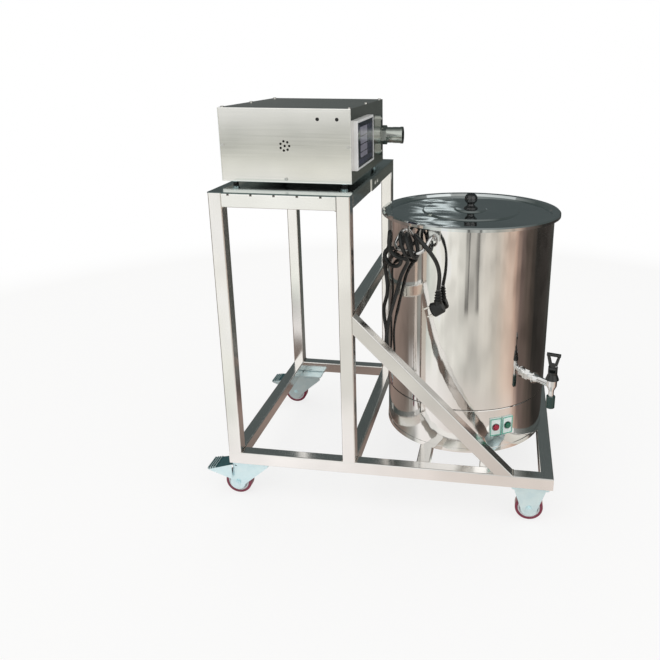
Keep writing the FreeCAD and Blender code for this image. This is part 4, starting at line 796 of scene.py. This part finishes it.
# A point of the route: degrees round the barrel from its front, metres out from its wall, and
# metres up from its seat.
ROUTE = [
    (-140, 0.024, 0.052), (-140, 0.045, 0.052), (-135, 0.06, 0.066), (-127, 0.059, 0.092),
    (-121, 0.044, 0.122), (-117, 0.027, 0.156), (-114, 0.014, 0.196), (-111, 0.009, 0.242),
    (-107, 0.008, 0.286), (-101, 0.008, 0.328), (-93, 0.008, 0.368), (-84, 0.009, 0.402),
    (-76, 0.0105, 0.426), (-68, 0.012, 0.444), (-61, 0.015, 0.46), (-55, 0.019, 0.477),
    (-50, 0.025, 0.496), (-46.5, 0.033, 0.515), (-44, 0.043, 0.526), (-41.6, 0.052, 0.517),
    (-41.3, 0.055, 0.499), (-41, 0.051, 0.481), (-38.5, 0.04, 0.469), (-36.3, 0.024, 0.465),
    (-37.2, 0.011, 0.455), (-41.5, 0.008, 0.436), (-45.8, 0.008, 0.412), (-49, 0.008, 0.38),
    (-53.8, 0.0085, 0.343), (-58.5, 0.0095, 0.308), (-63, 0.0105, 0.276), (-65.3, 0.011, 0.248),
    (-65.2, 0.011, 0.225), (-63.6, 0.011, 0.206), (-65.1, 0.0105, 0.189), (-69, 0.01, 0.182),
    (-72.6, 0.0095, 0.19), (-72.2, 0.0085, 0.208), (-69.6, 0.008, 0.228), (-69.5, 0.008, 0.252),
    (-74, 0.011, 0.276), (-75.5, 0.012, 0.302), (-70, 0.01, 0.326), (-66, 0.0085, 0.348),
    (-65.5, 0.008, 0.37), (-68.5, 0.0085, 0.39), (-69, 0.01, 0.409), (-64.5, 0.013, 0.427),
    (-57, 0.016, 0.44), (-51.3, 0.019, 0.457), (-45.8, 0.022, 0.47), (-39.8, 0.026, 0.467),
    (-38.8, 0.029, 0.451), (-43.5, 0.032, 0.441), (-49.5, 0.035, 0.447), (-52.3, 0.037, 0.463),
    (-49.8, 0.036, 0.477), (-46, 0.031, 0.483), (-42, 0.0245, 0.484), (-38.8, 0.021, 0.498),
    (-37.8, 0.024, 0.517), (-36.8, 0.036, 0.527), (-34.5, 0.05, 0.518), (-32.3, 0.0535, 0.498),
    (-31, 0.045, 0.478), (-31, 0.028, 0.477), (-32.5, 0.0205, 0.495), (-33.5, 0.023, 0.516),
    (-33, 0.035, 0.528), (-30.5, 0.05, 0.521), (-28, 0.0545, 0.502), (-26.5, 0.046, 0.479),
    (-26.5, 0.029, 0.477), (-28, 0.021, 0.495), (-28.8, 0.024, 0.516), (-27.5, 0.036, 0.528),
    (-24, 0.047, 0.525), (-19.8, 0.049, 0.512), (-16.4, 0.045, 0.493), (-14.2, 0.036, 0.473),
    (-13.5, 0.026, 0.45), (-13.9, 0.019, 0.427), (-14.8, 0.016, 0.407),
]
barrel_radius = 0.198
seat_height = 0.127
cord_thickness = 0.009

plug_radius = 0.017
plug_length = 0.026
plug_half = 0.012  # half its thickness
plug_taper = 0.80  # its back against its pin face
plug_round = 0.0022
plug_tilt = 28.0  # degrees that its pins point below the level
pin_face_inset = 0.003
pin_face_proud = 0.0012
plug_place = (0.13473, -0.20690, 0.4898)
# Radii of the strain relief's ribs, step by step, from the plug to the cord.
rib_pair = (0.0092, 0.0092, 0.0068, 0.0068)
relief_ribs = [0.0090] + [r - 0.0006 * rib for rib in range(4) for r in rib_pair] + [0.0056]
relief_start = 0.014
relief_step = 0.00155


def by_barrel(angle, radius, height):
    """Point at an angle round the barrel's axis."""
    turn = math.radians(angle)
    return Vector((barrel_x + radius * math.sin(turn), barrel_y - radius * math.cos(turn), height))


def make_plug():
    """Right-angle plug: a rounded slab across the cord, with a ribbed, tapered strain relief."""
    clear_selection()
    bpy.ops.mesh.primitive_cylinder_add(vertices=40, radius=plug_radius, depth=plug_length,
                                        rotation=(0.0, math.pi / 2, 0.0))
    body = bpy.context.object
    body.name = "plug_moulding"
    bpy.ops.object.transform_apply(location=False, rotation=True, scale=False)
    pick_faces(body, lambda middle, way: way.x > 0.9)
    bpy.ops.transform.resize(value=(1.0, plug_taper, plug_taper),
                             center_override=(plug_length / 2, 0.0, 0.0))
    pick_faces(body, lambda middle, way: way.x < -0.9)
    bpy.ops.mesh.inset(thickness=pin_face_inset)
    extrude((-pin_face_proud, 0.0, 0.0))
    pick_faces(body, lambda middle, way: abs(way.x) > 0.9)
    bpy.ops.mesh.bevel(offset=plug_round, segments=3, affect="EDGES")
    bpy.ops.mesh.select_all(action="SELECT")
    bpy.ops.transform.resize(value=(1.0, plug_half / plug_radius, 1.0),
                             center_override=(0.0, 0.0, 0.0))
    bpy.ops.object.mode_set(mode="OBJECT")
    body.data.transform(Matrix.Rotation(math.radians(-plug_tilt), 4, "Y"))
    steps = [(0.0096, 0.004), (0.0092, relief_start)]
    steps += [(radius, relief_start + relief_step * up) for up, radius in enumerate(relief_ribs, 1)]
    relief = turned("plug_relief", steps, 32)
    relief.select_set(True)
    body.select_set(True)
    bpy.context.view_layer.objects.active = body
    bpy.ops.object.join()
    turn = math.radians(ROUTE[-1][0])
    sideways = Vector((-math.cos(turn), -math.sin(turn), 0.0))
    outward = Vector((math.sin(turn), -math.cos(turn), 0.0))
    lie = Matrix((-sideways, -outward, Vector((0.0, 0.0, 1.0)))).transposed().to_4x4()
    body.data.transform(Matrix.Translation(plug_place) @ lie)
    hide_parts("plug_body")
    plug_pvc = moulded("plug_pvc", (0.006, 0.008, 0.008), 0.34, grain=0.15)
    return complete(body, plug_pvc, "frame", 40)


def make_cord():
    """The lead as one smooth line through its route, with its plug."""
    curve = bpy.data.curves.new("mains_lead", "CURVE")
    curve.dimensions = "3D"
    line = curve.splines.new("NURBS")
    points = [by_barrel(a, barrel_radius + out, seat_height + up) for a, out, up in ROUTE]
    line.points.add(len(points) - 1)
    for knot, point in zip(line.points, points):
        knot.co = (*point, 1.0)
    line.order_u = 3
    line.use_endpoint_u = True
    line.resolution_u = 8
    curve.bevel_depth = cord_thickness / 2
    curve.bevel_resolution = 5
    curve.use_fill_caps = True
    lead = bpy.data.objects.new("mains_lead", curve)
    bpy.context.scene.collection.objects.link(lead)
    lead.data.materials.append(moulded("cord_jacket", (0.009, 0.011, 0.011), 0.38, grain=0.1))
    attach(lead, "frame")
    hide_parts("power_cord")
    make_plug()


make_cord()
finish(black_plastic, "cord_gland")
finish(steel("plug_brass", (0.92, 0.90, 0.84), (0.30, 0.40)), "plug_pins")

# --- dosing box --------------------------------------------------------------------------------
# Folded stainless case on four rubber feet: a U-shaped housing with a front panel and a top
# cover screwed on, a touch screen in a pale bezel and two flanged pipe stubs.
brushed_along = (0.01, 1.0, 1.0)
case_steel = steel("brushed_case", (0.86, 0.85, 0.82), (0.10, 0.15), brushed_along, dents=0.0008)
finish(case_steel, "box_housing", "front_panel", "top_cover")
finish(moulded("rubber_foot", (0.02, 0.02, 0.02), 0.6), "box_feet")

# Two dark indicator lenses at the top of the front panel.
box_front = -0.194
indicator_height = 0.891
indicator_steps = [(0.0038, -0.004), (0.0038, -0.0002), (0.0030, 0.0003), (0.0012, 0.0006)]
indicator = turned("indicator_lamps", indicator_steps, 28)
facing_front = Matrix.Rotation(math.pi / 2, 4, "X")
indicator = set_out(indicator, [Matrix.Translation((x, box_front, indicator_height)) @ facing_front
                                for x in (-0.1286, -0.0866)])
complete(indicator, moulded("dark_lens", (0.003, 0.003, 0.004), 0.55), "frame")

# Zinc washers between the feet and the floor of the box.
washer_steps = [(0.0078, 0.7525), (0.0080, 0.7535), (0.0080, 0.7556), (0.0074, 0.7560)]
washer = turned("foot_washers", washer_steps, 28)
feet = [(x, y, 0.0) for x in (-0.3256, -0.0786) for y in (-0.172, 0.168)]
washer = set_out(washer, [Matrix.Translation(foot) for foot in feet])
complete(washer, zinc, "frame")

# Hem folded round the front panel, in steel paler than the case's: painted highlight along the
# panel's edges.
box_left, box_right = -0.3476, -0.0566
box_bottom, box_top = 0.756, 0.913
hem_wide = 0.0018
hem_proud = 0.0006
hem_round = 0.0002
panel_middle = ((box_left + box_right) / 2, box_front, (box_bottom + box_top) / 2)
hem = upright_frame("panel_hem", box_right - box_left, box_top - box_bottom, panel_middle,
                    hem_wide, hem_proud)
pick_faces(hem, lambda middle, way: way.y < -0.9 or middle.y < box_front - 0.9 * hem_proud)
bpy.ops.mesh.bevel(offset=hem_round, segments=2, affect="EDGES")
face_outwards()
complete(hem, steel("hem_highlight_steel", (0.95, 0.95, 0.93), (0.12, 0.2)), "frame")
finish(steel("screw_steel", (0.62, 0.62, 0.60), (0.2, 0.3)), "box_screws")
finish(moulded("bezel_plastic", (0.80, 0.80, 0.80), 0.25), "screen_bezel")
finish(moulded("screen_glass", (0.012, 0.014, 0.035), 0.05, coat=1.0), "touch_screen")

# Lit fields under the glass: y and z of the near lower corner, width and height, in millimetres.
LARGE_FIELDS = [(-131, z, 74, h) for z, h in ((851.5, 19), (833.5, 16), (817, 14.5), (804.5, 10.5))]
SMALL_FIELDS = [(y, z, 24, h) for y in (-51, -22) for z, h in (
    (861.5, 9), (851, 8.5), (842, 7), (833, 7), (824.5, 6.5), (816.5, 6), (808, 6.5), (792, 10))]
SMALL_FIELDS += [(y, 790, 17, 12) for y in (-131, -112, -93, -74)]
SMALL_FIELDS += [(-155, z, 18, 14) for z in (861, 790)]
glass_face = -0.0496
field_thick = 0.0003
field_round = 0.0012


def screen_fields(name, fields, material):
    """Thin tiles with rounded corners on the screen, joined in one piece."""
    clear_selection()
    made = []
    for y, z, wide, high in fields:
        bpy.ops.mesh.primitive_plane_add(size=0.001, rotation=(0.0, math.pi / 2, 0.0))
        tile = bpy.context.object
        tile.scale = (high, wide, 1.0)
        tile.location = (glass_face, (y + wide / 2) / 1000, (z + high / 2) / 1000)
        settle_place()
        edit_all()
        bpy.ops.mesh.bevel(offset=field_round, segments=3, affect="VERTICES")
        bpy.ops.mesh.select_all(action="SELECT")
        extrude((field_thick, 0.0, 0.0))
        face_outwards()
        bpy.ops.object.mode_set(mode="OBJECT")
        made.append(tile)
    for tile in made:
        tile.select_set(True)
    bpy.ops.object.join()
    bpy.context.object.name = name
    complete(bpy.context.object, material, "frame", 20)


lit_field = moulded("lit_field", (0.30, 0.285, 0.36), 0.25, coat=0.6)
dim_field = moulded("dim_field", (0.060, 0.062, 0.105), 0.25, coat=0.6)
screen_fields("large_screen_fields", LARGE_FIELDS, lit_field)
screen_fields("small_screen_fields", SMALL_FIELDS, dim_field)
finish(steel("port_steel", (0.50, 0.53, 0.50), (0.10, 0.16)), "port_flanges", "port_pipes")
finish(moulded("socket_plastic", (0.02, 0.02, 0.02), 0.35), "mains_inlet")

# --- inside the dosing box ---------------------------------------------------------------------
# Cast gear pump with a pair of steel gears, turned by its motor, with a mains supply in a steel
# case and the control board. All of it is fixed inside the case and hidden by its covers.
finish(steel("pump_alloy", (0.45, 0.46, 0.47), (0.3, 0.45)), "pump_body")
finish(steel("gear_steel", (0.62, 0.62, 0.62), (0.2, 0.3)), "drive_gear", "driven_gear")
finish(moulded("motor_paint", (0.10, 0.11, 0.12), 0.3), "pump_motor")
finish(steel("supply_case", (0.70, 0.71, 0.72), (0.25, 0.4)), "power_supply")
finish(moulded("board_green", (0.03, 0.20, 0.08), 0.3), "control_board")
